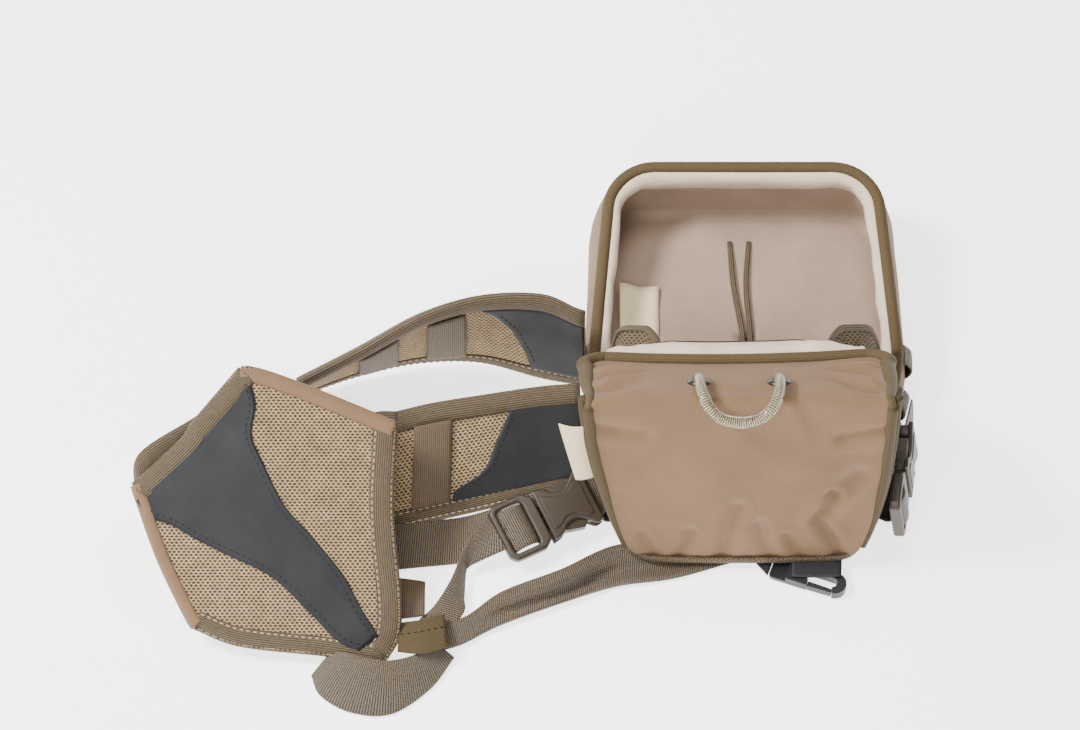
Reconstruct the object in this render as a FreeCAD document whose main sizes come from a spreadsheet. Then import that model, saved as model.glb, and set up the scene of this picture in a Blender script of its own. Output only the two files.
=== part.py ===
"""Binocular harness pack, lying open on its back with its harness laid out beside it.

A rounded, tapered back tray carries a clamshell front that hinges at the bottom edge and ends in a
fold-over lid. Two padded shoulder straps run from the tray to a padded yoke panel, and two lower
webbings run from side-release buckles to the yoke's tip. Millimetres. X is across the pack, Y
towards its top and Z up, away from the wearer's chest. The origin is on the back pad's underside,
below the middle of the tray.
"""
import FreeCAD
import Part

import math
import os

from FreeCAD import Placement, Rotation, Vector

DOC = FreeCAD.newDocument("harness_pack")

SIZES = {
    # tray
    "base_half_mid": 87, "base_half_top": 82, "base_half_bottom": 60,
    "rim_half_mid": 76, "rim_half_top": 70, "rim_half_bottom": 58,
    "base_top_y": 95, "rim_top_y": 87, "bottom_y": -87.2, "mid_y": -25,
    "top_corner": 26, "bottom_corner": 18, "loft_height": 62,
    "pad_thickness": 7, "board_thickness": 1.5, "shell_wall": 3, "lining_wall": 2,
    "rim_rise": 14.18, "rim_offset": 4.8, "binding_depth": 5, "binding_proud": 0.6,
    # clamshell front and lid
    "hinge_y": -90, "hinge_z": 8, "hinge_piping": 2.5, "open_turn": 70,
    "front_edge": 6, "front_depth": 40, "front_low": -8, "front_half_low": 57,
    "front_half_high": 77, "fold_along": 113.3, "fold_depth": 32.7, "side_piping": 2,
    "lid_length": 77.6, "lid_slope": 38.2, "lid_half": 80, "lid_fabric": 2, "lid_liner": 1.5,
    "lid_binding": 5, "lid_corner": 16, "grommet_gap": 41, "grommet_along": 24,
    "tube_outer": 3.2, "tube_inner": 2.3,
    # harness
    "strap_thickness": 5, "overlay_thickness": 0.8, "webbing_width": 25, "webbing_thickness": 1.6,
    "panel_thickness": 4, "panel_tilt": 31.8, "panel_low_y": -190, "panel_low_z": 6.1,
    "buckle_width": 33, "buckle_thickness": 10, "magnet_radius": 6, "magnet_thickness": 1.6,
}


def make_sheet():
    """The spreadsheet that holds the driving dimensions."""
    cells = DOC.addObject("Spreadsheet::Sheet", "Sizes")
    for row, (name, value) in enumerate(SIZES.items(), start=1):
        cells.set(f"A{row}", name)
        cells.set(f"B{row}", str(value))
        cells.setAlias(f"B{row}", name)
    DOC.recompute()
    return cells


SHEET = make_sheet()
PARTS = []


def size(name):
    return float(SHEET.get(name))


def keep(obj, label, placement=None):
    """Names a finished sub-part and puts it in place."""
    obj.Label = label
    if placement is not None:
        obj.Placement = placement
    PARTS.append(obj)
    return obj


def feature(label, shape, placement=None):
    """A sub-part whose shape is built by code."""
    obj = DOC.addObject("Part::Feature", "Shape_" + label)
    obj.Shape = shape
    return keep(obj, label, placement)


def bind(obj, **cells):
    """Binds properties to cells: bind(box, Height="pad_thickness")."""
    for prop, cell in cells.items():
        obj.setExpression(prop, "Sizes." + cell)
    return obj


# ---------------------------------------------------------------- wires and solids

def rounded_wire(points, radii, z=0.0):
    """A closed wire in a level plane, its corners rounded with arcs."""
    edges = []
    count = len(points)
    starts = []
    for i in range(count):
        here = Vector(points[i][0], points[i][1], z)
        before = Vector(points[i - 1][0], points[i - 1][1], z)
        after = Vector(points[(i + 1) % count][0], points[(i + 1) % count][1], z)
        into = (before - here).normalize()
        out = (after - here).normalize()
        radius = radii[i]
        if radius <= 0:
            starts.append((here, None, here))
            continue
        half = into.getAngle(out) / 2
        reach = radius / math.tan(half)
        middle = (into + out).normalize()
        centre = here + middle * (radius / math.sin(half))
        starts.append((here + into * reach, centre - middle * radius, here + out * reach))
    for i in range(count):
        first, mid, last = starts[i]
        if mid is not None:
            edges.append(Part.Arc(first, mid, last).toShape())
        following = starts[(i + 1) % count][0]
        if (following - last).Length > 1e-6:
            edges.append(Part.LineSegment(last, following).toShape())
    return Part.Wire(edges)


def prism(points, radii, low, high):
    """A level plate with rounded corners from height low to high."""
    return Part.Face(rounded_wire(points, radii, low)).extrude(Vector(0, 0, high - low))


def mirrored(points):
    """A closed outline from its right half, listed from the bottom up."""
    return points + [(-x, y) for x, y in reversed(points)]


def tube(points, radius):
    """A round bar through points, its corners rounded by arcs as large as the runs allow."""
    path = []
    last = points[0]
    for i in range(1, len(points) - 1):
        here = points[i]
        into = points[i - 1] - here
        out = points[i + 1] - here
        shorter = min(into.Length, out.Length)
        into.normalize()
        out.normalize()
        half = into.getAngle(out) / 2
        reach = 0.45 * shorter
        bend = reach * math.tan(half)
        middle = (into + out).normalize()
        centre = here + middle * (bend / math.sin(half))
        first = here + into * reach
        second = here + out * reach
        path.append(Part.LineSegment(last, first).toShape())
        path.append(Part.Arc(first, centre - middle * bend, second).toShape())
        last = second
    path.append(Part.LineSegment(last, points[-1]).toShape())
    wire = Part.Wire(path)
    start = Part.Circle(points[0], points[1] - points[0], radius).toShape()
    return wire.makePipeShell([Part.Wire([start])], True, True)


def station_frames(stations):
    """For each (low edge, high edge) pair of a ribbon, its two points and its normal."""
    lows = [Vector(*low) for low, high in stations]
    highs = [Vector(*high) for low, high in stations]
    frames = []
    for i in range(len(stations)):
        a = max(i - 1, 0)
        b = min(i + 1, len(stations) - 1)
        along = (lows[b] + highs[b]) - (lows[a] + highs[a])
        across = highs[i] - lows[i]
        frames.append((lows[i], highs[i], along.cross(across).normalize()))
    return frames


def ribbon(stations, under, over, start=0.0, end=None, low_share=0.0, high_share=1.0):
    """A ribbon's solid between two offsets from its middle surface.

    start and end are places along the station list, and the shares are places across the width.
    """
    frames = station_frames(stations)
    last = len(frames) - 1
    end = last if end is None else end
    places = sorted({start, end} | {i for i in range(last + 1) if start < i < end})
    sections = []
    for place in places:
        i = min(int(place), last - 1)
        t = place - i
        corners = []
        for offset in (under, over):
            ends = [(frames[k][0] + frames[k][2] * offset, frames[k][1] + frames[k][2] * offset)
                    for k in (i, i + 1)]
            low = ends[0][0] * (1 - t) + ends[1][0] * t
            high = ends[0][1] * (1 - t) + ends[1][1] * t
            corners.append(low + (high - low) * low_share)
            corners.append(low + (high - low) * high_share)
        ring = [corners[0], corners[1], corners[3], corners[2], corners[0]]
        sections.append(Part.makePolygon(ring))
    return Part.makeLoft(sections, True, True)


# ---------------------------------------------------------------- the tray

def tray_outline(share, inset):
    """The tray's outline at a share of its loft height, 0 at the base and 1 at the top."""
    def between(base, rim):
        return size(base) * (1 - share) + size(rim) * share
    bottom = between("base_half_bottom", "rim_half_bottom") - inset
    middle = between("base_half_mid", "rim_half_mid") - inset
    top = between("base_half_top", "rim_half_top") - inset
    top_y = between("base_top_y", "rim_top_y") - inset
    right = [(bottom, size("bottom_y") + inset), (middle, size("mid_y")), (top, top_y)]
    low, high = size("bottom_corner"), size("top_corner")
    radii = [low - inset, 70, high - inset]
    return mirrored(right), radii + radii[::-1]


def tray_prism(inset, low, high):
    """The tapered solid inside the tray's outline, between two heights."""
    wires = []
    for z in (low, high):
        outline, radii = tray_outline((z - tray_floor()) / size("loft_height"), inset)
        wires.append(rounded_wire(outline, radii, z))
    return Part.makeLoft(wires, True, True)


def tray_floor():
    return size("pad_thickness") + size("board_thickness")


def above_rim(offset):
    """Everything above the sloping rim plane, moved down by offset."""
    block = Part.makeBox(300, 400, 200, Vector(-150, -150, size("rim_offset") - offset))
    block.Placement = hinge_frame(size("rim_rise"))
    return block


def hinge_frame(turn):
    """The frame of the bottom hinge: origin on its axis, Y along the clamshell's edge."""
    axis = Vector(0, size("hinge_y"), size("hinge_z"))
    return Placement(axis, Rotation(Vector(1, 0, 0), turn))


def build_tray():
    floor = tray_floor()
    wall = size("shell_wall")
    liner = wall + size("lining_wall")
    top = floor + size("loft_height")
    shell = tray_prism(0, floor, top).cut(tray_prism(wall, floor + wall, top + 5))
    shell = shell.cut(above_rim(size("binding_depth")))
    shell = shell.cut(magnet_pair(0.1))
    feature("back_shell", shell)

    lining = tray_prism(wall, floor + wall, top).cut(tray_prism(liner, floor + liner, top + 5))
    lining = lining.cut(above_rim(size("binding_depth"))).cut(magnet_pair(0.1))
    feature("back_lining", lining)

    ring = tray_prism(-size("binding_proud"), floor, top)
    ring = ring.cut(tray_prism(liner + size("binding_proud"), floor - 1, top + 5))
    ring = ring.cut(above_rim(0)).common(above_rim(size("binding_depth")))
    ring = ring.cut(Part.makeBox(300, 60, 60, Vector(-150, -130, 0)))
    feature("rim_binding", ring)


def magnet_pair(slack):
    """Two discs let into the inner face of the tray's top wall."""
    discs = []
    for x in (-30, 30):
        centre = Vector(x, 86.3, 42)
        disc = Part.makeCylinder(size("magnet_radius") + slack, size("magnet_thickness") + slack,
                                 centre, Vector(0, -1, 0.13))
        discs.append(disc)
    return Part.makeCompound(discs)


def make_body(label):
    body = DOC.addObject("PartDesign::Body", "Body_" + label)
    keep(body, label)
    return body


def sketch_on_floor(body, points, radii, name):
    """A closed sketch on the body's XY plane."""
    sketch = body.newObject("Sketcher::SketchObject", name)
    plane = [f for f in body.Origin.OriginFeatures if f.Role == "XY_Plane"][0]
    sketch.AttachmentSupport = [(plane, "")]
    sketch.MapMode = "FlatFace"
    for edge in rounded_wire(points, radii).Edges:
        first, last = edge.FirstParameter, edge.LastParameter
        ends = [edge.valueAt(first), edge.valueAt(last)]
        if isinstance(edge.Curve, Part.Line):
            sketch.addGeometry(Part.LineSegment(ends[0], ends[1]), False)
        else:
            middle = edge.valueAt((first + last) / 2)
            sketch.addGeometry(Part.Arc(ends[0], middle, ends[1]), False)
    return sketch


def padded_plate(label, points, radii, thickness_cell, height):
    """A PartDesign plate of a sheet thickness, lifted to its height."""
    body = make_body(label)
    sketch = sketch_on_floor(body, points, radii, "Outline_" + label)
    pad = body.newObject("PartDesign::Pad", "Pad_" + label)
    pad.Profile = sketch
    bind(pad, Length=thickness_cell)
    body.Placement = Placement(Vector(0, 0, height), Rotation())
    return body


def build_back():
    outline, radii = tray_outline(0, 5)
    padded_plate("back_pad", outline, radii, "pad_thickness", 0)
    outline, radii = tray_outline(0, 9)
    padded_plate("stiffener_board", outline, radii, "board_thickness", size("pad_thickness"))
    feature("tray_magnets", magnet_pair(0))

    piping = DOC.addObject("Part::Cylinder", "HingePiping")
    bind(piping, Radius="hinge_piping")
    piping.Height = 2 * 46
    keep(piping, "hinge_piping",
         Placement(Vector(-46, size("hinge_y"), size("hinge_z")), Rotation(Vector(0, 1, 0), 90)))

    floor_top = tray_floor() + size("shell_wall") + size("lining_wall")
    tape = DOC.addObject("Part::Box", "CentreTape")
    tape.Length = 14
    tape.Width = 138
    tape.Height = 1.2
    keep(tape, "centre_tape", Placement(Vector(-7, -72, floor_top), Rotation()))

    label = DOC.addObject("Part::Box", "CareLabel")
    label.Length = 22
    label.Width = 30
    label.Height = 0.5
    keep(label, "care_label", Placement(Vector(-66, 4, floor_top), Rotation()))


def build_wings():
    """Stiff rubberised tabs at the tray's lower corners, which carry the buckles."""
    right = [(56, -48), (84, -58), (90, -76), (76, -108), (61, -100)]
    for side, sign in (("left", -1), ("right", 1)):
        points = [(sign * x, y) for x, y in right]
        plate = prism(points, [2, 8, 10, 10, 4], 2.6, 4.6)
        outline, radii = tray_outline(0, 4.9)
        plate = plate.cut(prism(outline, radii, 0, 12))
        feature("wing_" + side, plate)


def build_side_loops():
    """Three bar-tacked webbing loops down each side wall."""
    places = ((-13, 84.6, 16), (-40, 81.4, 15), (-63, 75.0, 13.4))
    for side, sign in (("left", -1), ("right", 1)):
        loops = []
        for y, x, z in places:
            loop = Part.makeBox(2.2, 13, 16, Vector(2.6, -6.5, -8))
            feet = [Part.makeBox(2.6, 2.5, 16, Vector(0, e, -8)) for e in (-6.5, 4.0)]
            loop = loop.fuse(feet).removeSplitter()
            turn = Rotation(Vector(0, 0, 1), 0 if y > -20 else -14)
            loop.Placement = Placement(Vector(x, y, z), turn)
            if sign < 0:
                loop = loop.mirror(Vector(0, 0, 0), Vector(1, 0, 0))
            loops.append(loop)
        whole = Part.makeCompound(loops).cut(tray_prism(-0.2, tray_floor(), 70))
        feature("side_loops_" + side, whole)


# ---------------------------------------------------------------- the clamshell front

def front_prism(inset, low, high, reach=40):
    """The tapered solid inside the front's outline, in the hinge frame, between two depths."""
    wires = []
    for depth in (low, high):
        share = (depth - size("front_edge")) / (size("front_depth") - size("front_edge"))
        bottom = -1 * (1 - share) + size("front_low") * share + inset
        half_low = size("front_half_low") + 2 * (1 - share) - inset
        half_high = size("front_half_high") + 2.5 * (1 - share) - inset
        top = size("fold_along") + reach
        far = half_low + (half_high - half_low) * (top - bottom) / (size("fold_along") - bottom)
        outline = mirrored([(half_low, bottom), (half_high, 60), (max(far - 12, half_high), top)])
        radii = [24 - inset, 90, 0]
        wires.append(rounded_wire(outline, radii + radii[::-1], depth))
    return Part.makeLoft(wires, True, True)


def front_face_cut(inset):
    """Everything outside the sloping front face, moved inwards by inset."""
    rise = math.degrees(math.atan2(size("front_depth") - size("fold_depth"),
                                   size("fold_along") - size("front_low")))
    block = Part.makeBox(300, 400, 60, Vector(-150, -100, -inset))
    block.Placement = Placement(Vector(0, size("front_low"), size("front_depth")),
                                Rotation(Vector(1, 0, 0), -rise))
    return block


def fold_cut(clear):
    """The side of the lid's plane that the front keeps out of, at rest."""
    turn = -(size("lid_slope") + size("rim_rise") + size("open_turn"))
    block = Part.makeBox(300, 400, 150, Vector(-150, -60, -clear))
    block.Placement = Placement(Vector(0, size("fold_along"), size("fold_depth")),
                                Rotation(Vector(1, 0, 0), turn))
    return block


def build_front():
    frame = hinge_frame(size("rim_rise") + size("open_turn"))
    edge, depth = size("front_edge"), size("front_depth")
    wall, liner = size("shell_wall"), size("shell_wall") + size("lining_wall")
    clear = size("lid_fabric") + size("lid_liner") + 0.8
    hull = front_prism(0, edge, depth + 4).cut(front_face_cut(0)).cut(fold_cut(clear))
    cavity = front_prism(wall, edge - 4, depth + 4).cut(front_face_cut(wall))
    feature("front_shell", hull.cut(cavity), frame)
    inner = cavity.cut(fold_cut(clear)).common(front_prism(0, edge, depth + 4))
    hollow = front_prism(liner, edge - 4, depth + 4).cut(front_face_cut(liner))
    feature("front_lining", inner.cut(hollow), frame)

    pipes = []
    for sign in (-1, 1):
        for step, drop in ((1.6, 1.5), (3.1, 6.2)):
            points = [Vector(sign * (50 + step), -6.5, 38.5 - drop),
                      Vector(sign * (59.5 + step), 6, 38 - drop),
                      Vector(sign * (74.5 + step), 60, 34.8 - drop),
                      Vector(sign * (77.6 + step), 103, 31.8 - drop)]
            pipes.append(tube(points, size("side_piping") * 0.75))
    piping = Part.makeCompound(pipes).cut(front_prism(-0.05, edge - 4, depth + 4))
    feature("front_piping", piping, frame)

    band = front_prism(-1, edge + 6, depth).cut(front_prism(-0.02, edge - 4, depth + 4))
    band = band.cut(front_face_cut(0)).cut(Part.makeBox(300, 300, 80, Vector(-150, 2, -10)))
    band = band.cut(Part.makeCompound([p.copy() for p in pipes]))
    feature("bottom_band", band, frame)

    label = Part.makeBox(16, 35, 0.8, Vector(-95, 56, 24))
    feature("side_label", label, frame)
    tab = Part.makeBox(27, 1.0, 15, Vector(25, -5.2, size("front_depth") + 0.6))
    feature("fabric_tab", tab, frame)


# ---------------------------------------------------------------- the lid

def lid_frame():
    """Origin on the fold line, Y along the lid and Z out of its outer face."""
    hinge = hinge_frame(size("rim_rise") + size("open_turn"))
    fold = hinge.multVec(Vector(0, size("fold_along"), size("fold_depth")))
    return Placement(fold, Rotation(Vector(1, 0, 0), -size("lid_slope")))


def lid_prism(inset, low, high, start=0.6):
    half = size("lid_half") - inset
    end = size("lid_length") - inset
    outline = mirrored([(half - 3, start), (half, end)])
    corner = size("lid_corner") - inset
    return prism(outline, [0, corner, corner, 0], low, high)


def build_lid():
    frame = lid_frame()
    outer, liner = -size("lid_fabric"), -size("lid_fabric") - size("lid_liner")
    trim = size("lid_binding") - 1.5
    magnets = []
    for x in (-30, 30):
        magnets.append(Part.makeCylinder(size("magnet_radius"), size("magnet_thickness"),
                                         Vector(x, 62, outer - 0.2)))
    magnets = Part.makeCompound(magnets)
    holes = []
    for sign in (-1, 1):
        at = Vector(sign * size("grommet_gap") / 2, size("grommet_along"), -6)
        holes.append(Part.makeCylinder(3.4, 12, at))
    pockets = Part.makeCompound([m.copy() for m in magnets.Solids])
    panel = lid_prism(trim, outer, 0).cut(holes).cut(pockets)
    feature("lid_panel", panel, frame)
    feature("lid_lining", lid_prism(trim, liner, outer).cut(holes).cut(pockets), frame)
    ring = lid_prism(-1.5, liner - 0.3, 1.2).cut(lid_prism(trim, liner - 1, 3, 0.5))
    feature("lid_binding", ring, frame)
    feature("lid_magnets", magnets, frame)

    rings = []
    for sign in (-1, 1):
        at = Vector(sign * size("grommet_gap") / 2, size("grommet_along"), liner - 0.5)
        barrel = Part.makeCylinder(3.3, size("lid_fabric") + size("lid_liner") + 1.1, at)
        flange = Part.makeCylinder(5.2, 0.6, Vector(at.x, at.y, 0.02))
        rings.append(barrel.fuse(flange).removeSplitter())
    feature("grommets", Part.makeCompound(rings), frame)

    apron = prism(mirrored([(66, size("lid_length") + 1.8), (62, 106)]), [2, 8, 8, 2], -3, -1.5)
    feature("lining_apron", apron, frame)
    build_pull_loop(frame)


def pull_route():
    """The loop's centreline in the lid's frame: out of one grommet, over the fold, and back."""
    half = [(20.5, 24.5, 3.2), (20.5, 19, 6.8), (20.6, 8, 5.6), (19.1, -2.5, 3.8),
            (14.5, -7.5, -5.0), (8, -5.5, -10.8)]
    right = [Vector(*point) for point in half]
    left = [Vector(-p.x, p.y, p.z) for p in reversed(right)]
    return right + [Vector(0, -4, -13)] + left


def build_pull_loop(frame):
    route = pull_route()
    outer = tube(route, size("tube_outer"))
    core = tube(route, size("tube_inner"))
    feature("pull_tube", outer.cut(core), frame)
    feature("pull_cable", tube(route, size("tube_inner") - 0.15), frame)


def build_gussets():
    """Fabric webs between the tray's rim and the front's edge on each side."""
    low, high, off = 30, 68, 5.4
    for side, sign in (("left", -1), ("right", 1)):
        corners = []
        for turn, along in ((0, low), (0, high), (1, high), (1, low)):
            frame = hinge_frame(size("rim_rise") + turn * size("open_turn"))
            across = sign * (66.5 if along == low else 74)
            corners.append(frame.multVec(Vector(across, along, off)))
        rim = Part.makeLine(corners[0], corners[1])
        edge = Part.makeLine(corners[3], corners[2])
        web = Part.makeRuledSurface(rim, edge)
        feature("gusset_" + side, web.extrude(Vector(-sign * 1.2, 0, 0)))


# ---------------------------------------------------------------- the harness

UPPER_STRAP = [
    ((-90, -19, 5), (-91, -14, 66)), ((-110, -16, 7), (-110, -9, 72)),
    ((-142, -7, 9), (-142, -11, 73)), ((-175, -7, 9), (-173, -20, 69)),
    ((-207, -14, 8), (-205, -32, 55)), ((-236, -24, 6), (-238, -48, 48)),
]
UPPER_LIMB = [
    ((-237, -25, 6), (-239, -49, 48)), ((-257, -44, 5), (-264, -54, 56)),
    ((-272, -92, 4), (-289, -78, 60)), ((-286, -146, 4), (-318, -99, 57)),
    ((-293, -168, 7), (-321, -113, 45)),
]
LOWER_STRAP = [
    ((-187, -111, 4), (-184, -65, 45)), ((-168, -106, 4), (-166, -60, 45)),
    ((-142, -99, 4), (-140, -55, 45)), ((-110, -90, 4), (-112, -50, 45)),
    ((-92, -87, 6), (-93, -48, 45)),
]
LOWER_LIMB = [
    ((-258, -64, 72), (-190, -78, 62)), ((-258, -69, 42), (-191, -72, 54)),
    ((-240, -92, 12), (-190, -67, 48)), ((-212, -106, 5), (-188, -66, 46)),
    ((-188, -111.5, 4), (-185, -65.5, 45)),
]
WEB_LEFT = [
    ((-129, -126, 6), (-133, -103, 12)), ((-150, -134, 2), (-150, -110, 6)),
    ((-172, -139, 2), (-170, -115, 5)), ((-190, -141, 2), (-188, -117, 4)),
]
WEB_BRANCH = [
    ((-124.5, -128, 16.4), (-140.5, -112, 21)), ((-129, -138, 13), (-150, -127, 17)),
    ((-136, -157, 8), (-157, -144, 12)), ((-148, -173, 6.5), (-165, -156, 9.6)),
    ((-163, -185, 5.5), (-172, -163, 8.6)),
]
WEB_RIGHT = [
    ((74, -112, 1), (60, -92, 1)), ((40, -121, 1), (34, -97, 1)),
    ((0, -128, 1), (-2, -103, 1)), ((-40, -141, 1), (-36, -117, 1.4)),
    ((-70, -147, 1), (-70, -124, 4.4)), ((-100, -158, 1), (-99, -139, 13)),
    ((-132, -170, 1), (-130, -153, 9)), ((-160, -186, 1), (-156, -170, 3)),
]
TAIL = [
    ((-170, -169, 10.5), (-188, -171, 9.5)), ((-170, -158, 12), (-188, -158, 13)),
    ((-170, -148, 10), (-187, -146, 11)),
]
TIP_LOOP = [
    ((-227, -203, 1), (-214, -195, 5)), ((-223, -213, 1), (-207, -200, 11)),
    ((-208, -222, 1), (-199, -204, 13)), ((-185, -223, 1), (-186, -204, 13)),
    ((-166, -211, 1), (-175, -195, 12)), ((-157, -199, 2), (-171, -188, 10)),
]


def build_straps():
    half = size("strap_thickness") / 2
    skin = size("overlay_thickness")
    feature("strap_upper", ribbon(UPPER_STRAP, -half, half))
    feature("strap_lower", ribbon(LOWER_STRAP, -half, half))
    face = half + 0.05
    feature("strap_upper_overlay", ribbon(UPPER_STRAP, -face - skin, -face, 0, 1.2, 0.08, 0.92))
    feature("strap_lower_overlay", ribbon(LOWER_STRAP, face, face + skin, 2.2, 4, 0.08, 0.92))
    loops = [ribbon(UPPER_STRAP, -face - 1.6, -face, a, b, 0.02, 1.0)
             for a, b in ((2.25, 2.9), (3.4, 4.05))]
    feature("strap_upper_loops", Part.makeCompound(loops))
    feature("strap_lower_loop", ribbon(LOWER_STRAP, face, face + 1.6, 0.45, 1.4, 0.02, 1.0))
    feature("yoke_limb_upper", ribbon(UPPER_LIMB, -2, 2))
    feature("yoke_limb_lower", ribbon(LOWER_LIMB, -2, 2))


def panel_frame():
    return Placement(Vector(0, size("panel_low_y"), size("panel_low_z")),
                     Rotation(Vector(1, 0, 0), size("panel_tilt")))


def build_yoke():
    """The padded yoke panel, its rubberised overlay and its bound edges."""
    frame = panel_frame()
    panel = [(-187, 14), (-189, 75), (-188, 118), (-239, 138), (-261, 142), (-278, 118),
             (-296, 96), (-315, 86), (-303, 49), (-288, 20), (-262, 9), (-204, 2)]
    radii = [8, 0, 6, 40, 4, 40, 30, 4, 60, 14, 40, 10]
    thick = size("panel_thickness")
    body = prism(panel, radii, -thick, 0)
    feature("yoke_panel", body, frame)
    overlay = [(-254, 132), (-262, 115), (-257, 102), (-228, 61), (-203, 26), (-196, 12),
               (-208, 7), (-230, 24), (-249, 41), (-289, 61), (-312, 72), (-313, 79),
               (-295, 92), (-275, 117), (-262, 137)]
    cover = prism(overlay, [3, 8, 8, 20, 8, 4, 4, 10, 12, 20, 2, 2, 20, 20, 3], 0.02,
                  size("overlay_thickness"))
    feature("yoke_overlay", cover, frame)
    side = [(-186.8, 6), (-182.5, 16), (-183, 75), (-184.5, 120), (-187, 124), (-187.8, 122.6)]
    edge = prism(side + [(-188, 118.2), (-188.6, 75), (-186.8, 14)],
                 [0] * 9, -thick - 0.6, 0.6).cut(body)
    low = prism([(-288, 19.8), (-262, 8.8), (-204, 1.8), (-190, 5), (-187, 5), (-192, -3),
                 (-222, -2), (-266, 4), (-292, 14)], [0] * 9, -thick - 0.6, 0.6).cut(body)
    neck = prism([(-261, 142.2), (-278, 118), (-296, 96), (-315, 86.2), (-321, 88), (-313, 96),
                  (-296, 110), (-283, 126), (-266, 149), (-259, 148)],
                 [0] * 10, -thick - 0.6, 0.6).cut(body)
    feature("yoke_binding", Part.makeCompound([edge, low.cut(edge), neck]), frame)


def build_webbings():
    half = size("webbing_thickness") / 2
    feature("web_left", ribbon(WEB_LEFT, -half, half))
    feature("web_branch", ribbon(WEB_BRANCH, -half, half))
    feature("web_right", ribbon(WEB_RIGHT, -half, half))
    feature("web_tail", ribbon(TAIL, -half, half))
    feature("tip_loop", ribbon(TIP_LOOP, -half, half))
    sleeve = prism([(-181.5, -186), (-181, -175), (-163, -172.5), (-161, -187), (-170, -192)],
                   [2, 2, 2, 2, 2], 11, 13)
    feature("web_sleeve", sleeve)


# ---------------------------------------------------------------- buckles and hook

def buckle_frame(side):
    """Origin at the buckle's middle, X from the adjuster towards the pack."""
    if side == "left":
        yaw, roll = Rotation(Vector(0, 0, 1), 28), Rotation(Vector(1, 0, 0), 16)
        return Placement(Vector(-107.5, -109.8, 13.6), yaw.multiply(roll))
    turn = Rotation(Vector(0, 0, 1), 82).multiply(Rotation(Vector(1, 0, 0), 82))
    return Placement(Vector(81, -93, 23.5), turn)


def build_buckle(side):
    frame = buckle_frame(side)
    wide, thick = size("buckle_width") / 2, size("buckle_thickness") / 2
    waist = [(0, wide - 2), (8, wide - 5), (16, wide - 5), (22, wide - 1), (27, wide - 1.5)]
    plate = waist + [(x, -y) for x, y in reversed(waist)]
    female = prism(plate, [0] * 10, -thick, -thick + 2)
    female = female.fuse(prism(plate, [0] * 10, thick - 2, thick))
    block = Part.makeBox(5, 2 * wide - 4, 2 * thick, Vector(21, 2 - wide, -thick))
    female = female.fuse(block).removeSplitter()
    feature("buckle_" + side + "_female", female, frame)

    outer = [(-27, wide - 5), (-22, wide), (-6, wide), (-1, wide - 4)]
    outer = outer + [(x, -y) for x, y in reversed(outer)]
    male = prism(outer, [3, 3, 3, 1, 1, 3, 3, 3], -3, 3)
    for start in (-24, -13):
        slot = prism([(start, 13), (start + 6, 13), (start + 6, -13), (start, -13)],
                     [1] * 4, -9, 9)
        male = male.cut(slot)
    guide = Part.makeBox(17, 3, 4, Vector(-1.5, -1.5, -2))
    feature("buckle_" + side + "_male", male.fuse(guide).removeSplitter(), frame)

    for name, sign in (("upper", 1), ("lower", -1)):
        prong = [(-0.6, 7), (-0.6, 10), (10, 13), (17, 14.5), (19.5, 11), (15, 8.5), (4, 6.5)]
        points = [(x, sign * y) for x, y in prong]
        shape = prism(points, [0.5] * 7, -2.6, 2.6)
        feature("buckle_" + side + "_prong_" + name, shape, frame)


def build_stubs():
    """Short webbings that hold the buckles to the wings."""
    half = size("webbing_thickness") / 2
    left = buckle_frame("left")
    near = [left.multVec(Vector(27.2, y, 0)) for y in (-12, 12)]
    stations = [((near[0].x, near[0].y, near[0].z), (near[1].x, near[1].y, near[1].z)),
                ((-72, -99, 6.2), (-76, -80, 14)), ((-68, -96, 5.8), (-70, -78, 6.4))]
    feature("stub_left", ribbon(stations, -half, half))
    right = buckle_frame("right")
    near = [right.multVec(Vector(27.2, y, 0)) for y in (-12, 12)]
    stations = [((near[0].x, near[0].y, near[0].z), (near[1].x, near[1].y, near[1].z)),
                ((89, -46, 8), (87.5, -46, 30))]
    feature("stub_right", ribbon(stations, -half, half))


def hook_frame():
    return Placement(Vector(12, -134, 0), Rotation(Vector(0, 0, 1), -20))


def build_hook():
    """The snap hook on its short webbing: a flat bar, a body with an eye, and a sprung gate."""
    stations = [((-8, -100, 2.6), (6, -94, 2.6)), ((-1, -124, 2.6), (12, -119, 2.6)),
                ((9.6, -139.1, 2.0), (13.4, -128.7, 2.0))]
    feature("hook_web", ribbon(stations, -0.5, 0.5))
    frame = hook_frame()
    bar = prism([(0, 6), (11, 6), (11, -6), (0, -6)], [2, 0, 0, 2], 0.4, 2.7)
    outer = prism([(9, 6), (41, 6.5), (41, -6.5), (9, -6)], [1, 6.2, 6.2, 1], 0.4, 5.6)
    eye = prism([(20, 2.8), (36, 2.8), (36, -2.8), (20, -2.8)], [1.5, 2.7, 2.7, 1.5], -1, 8)
    gate_gap = prism([(21, -2.7), (35, -2.7), (35, -8), (21, -8)], [0] * 4, -1, 8)
    body = bar.fuse(outer).removeSplitter()
    feature("hook_body", body.cut(eye).cut(gate_gap), frame)
    gate = prism([(21.3, -3.2), (34.4, -3.6), (34.4, -6.0), (21.3, -6.2)], [0.4] * 4, 1.0, 5.0)
    feature("hook_gate", gate, frame)


# ---------------------------------------------------------------- making and writing

def check():
    """Stops if an object failed or a sub-part has no valid shape."""
    DOC.recompute()
    for obj in DOC.Objects:
        if "Invalid" in obj.State or "Error" in obj.State:
            raise RuntimeError(f"{obj.Label}: {obj.State}")
    bad = [obj.Label for obj in PARTS
           if obj.Shape.isNull() or not obj.Shape.isValid() or obj.Shape.Volume < 1]
    if bad:
        raise RuntimeError("no valid shape: " + ", ".join(bad))


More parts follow.
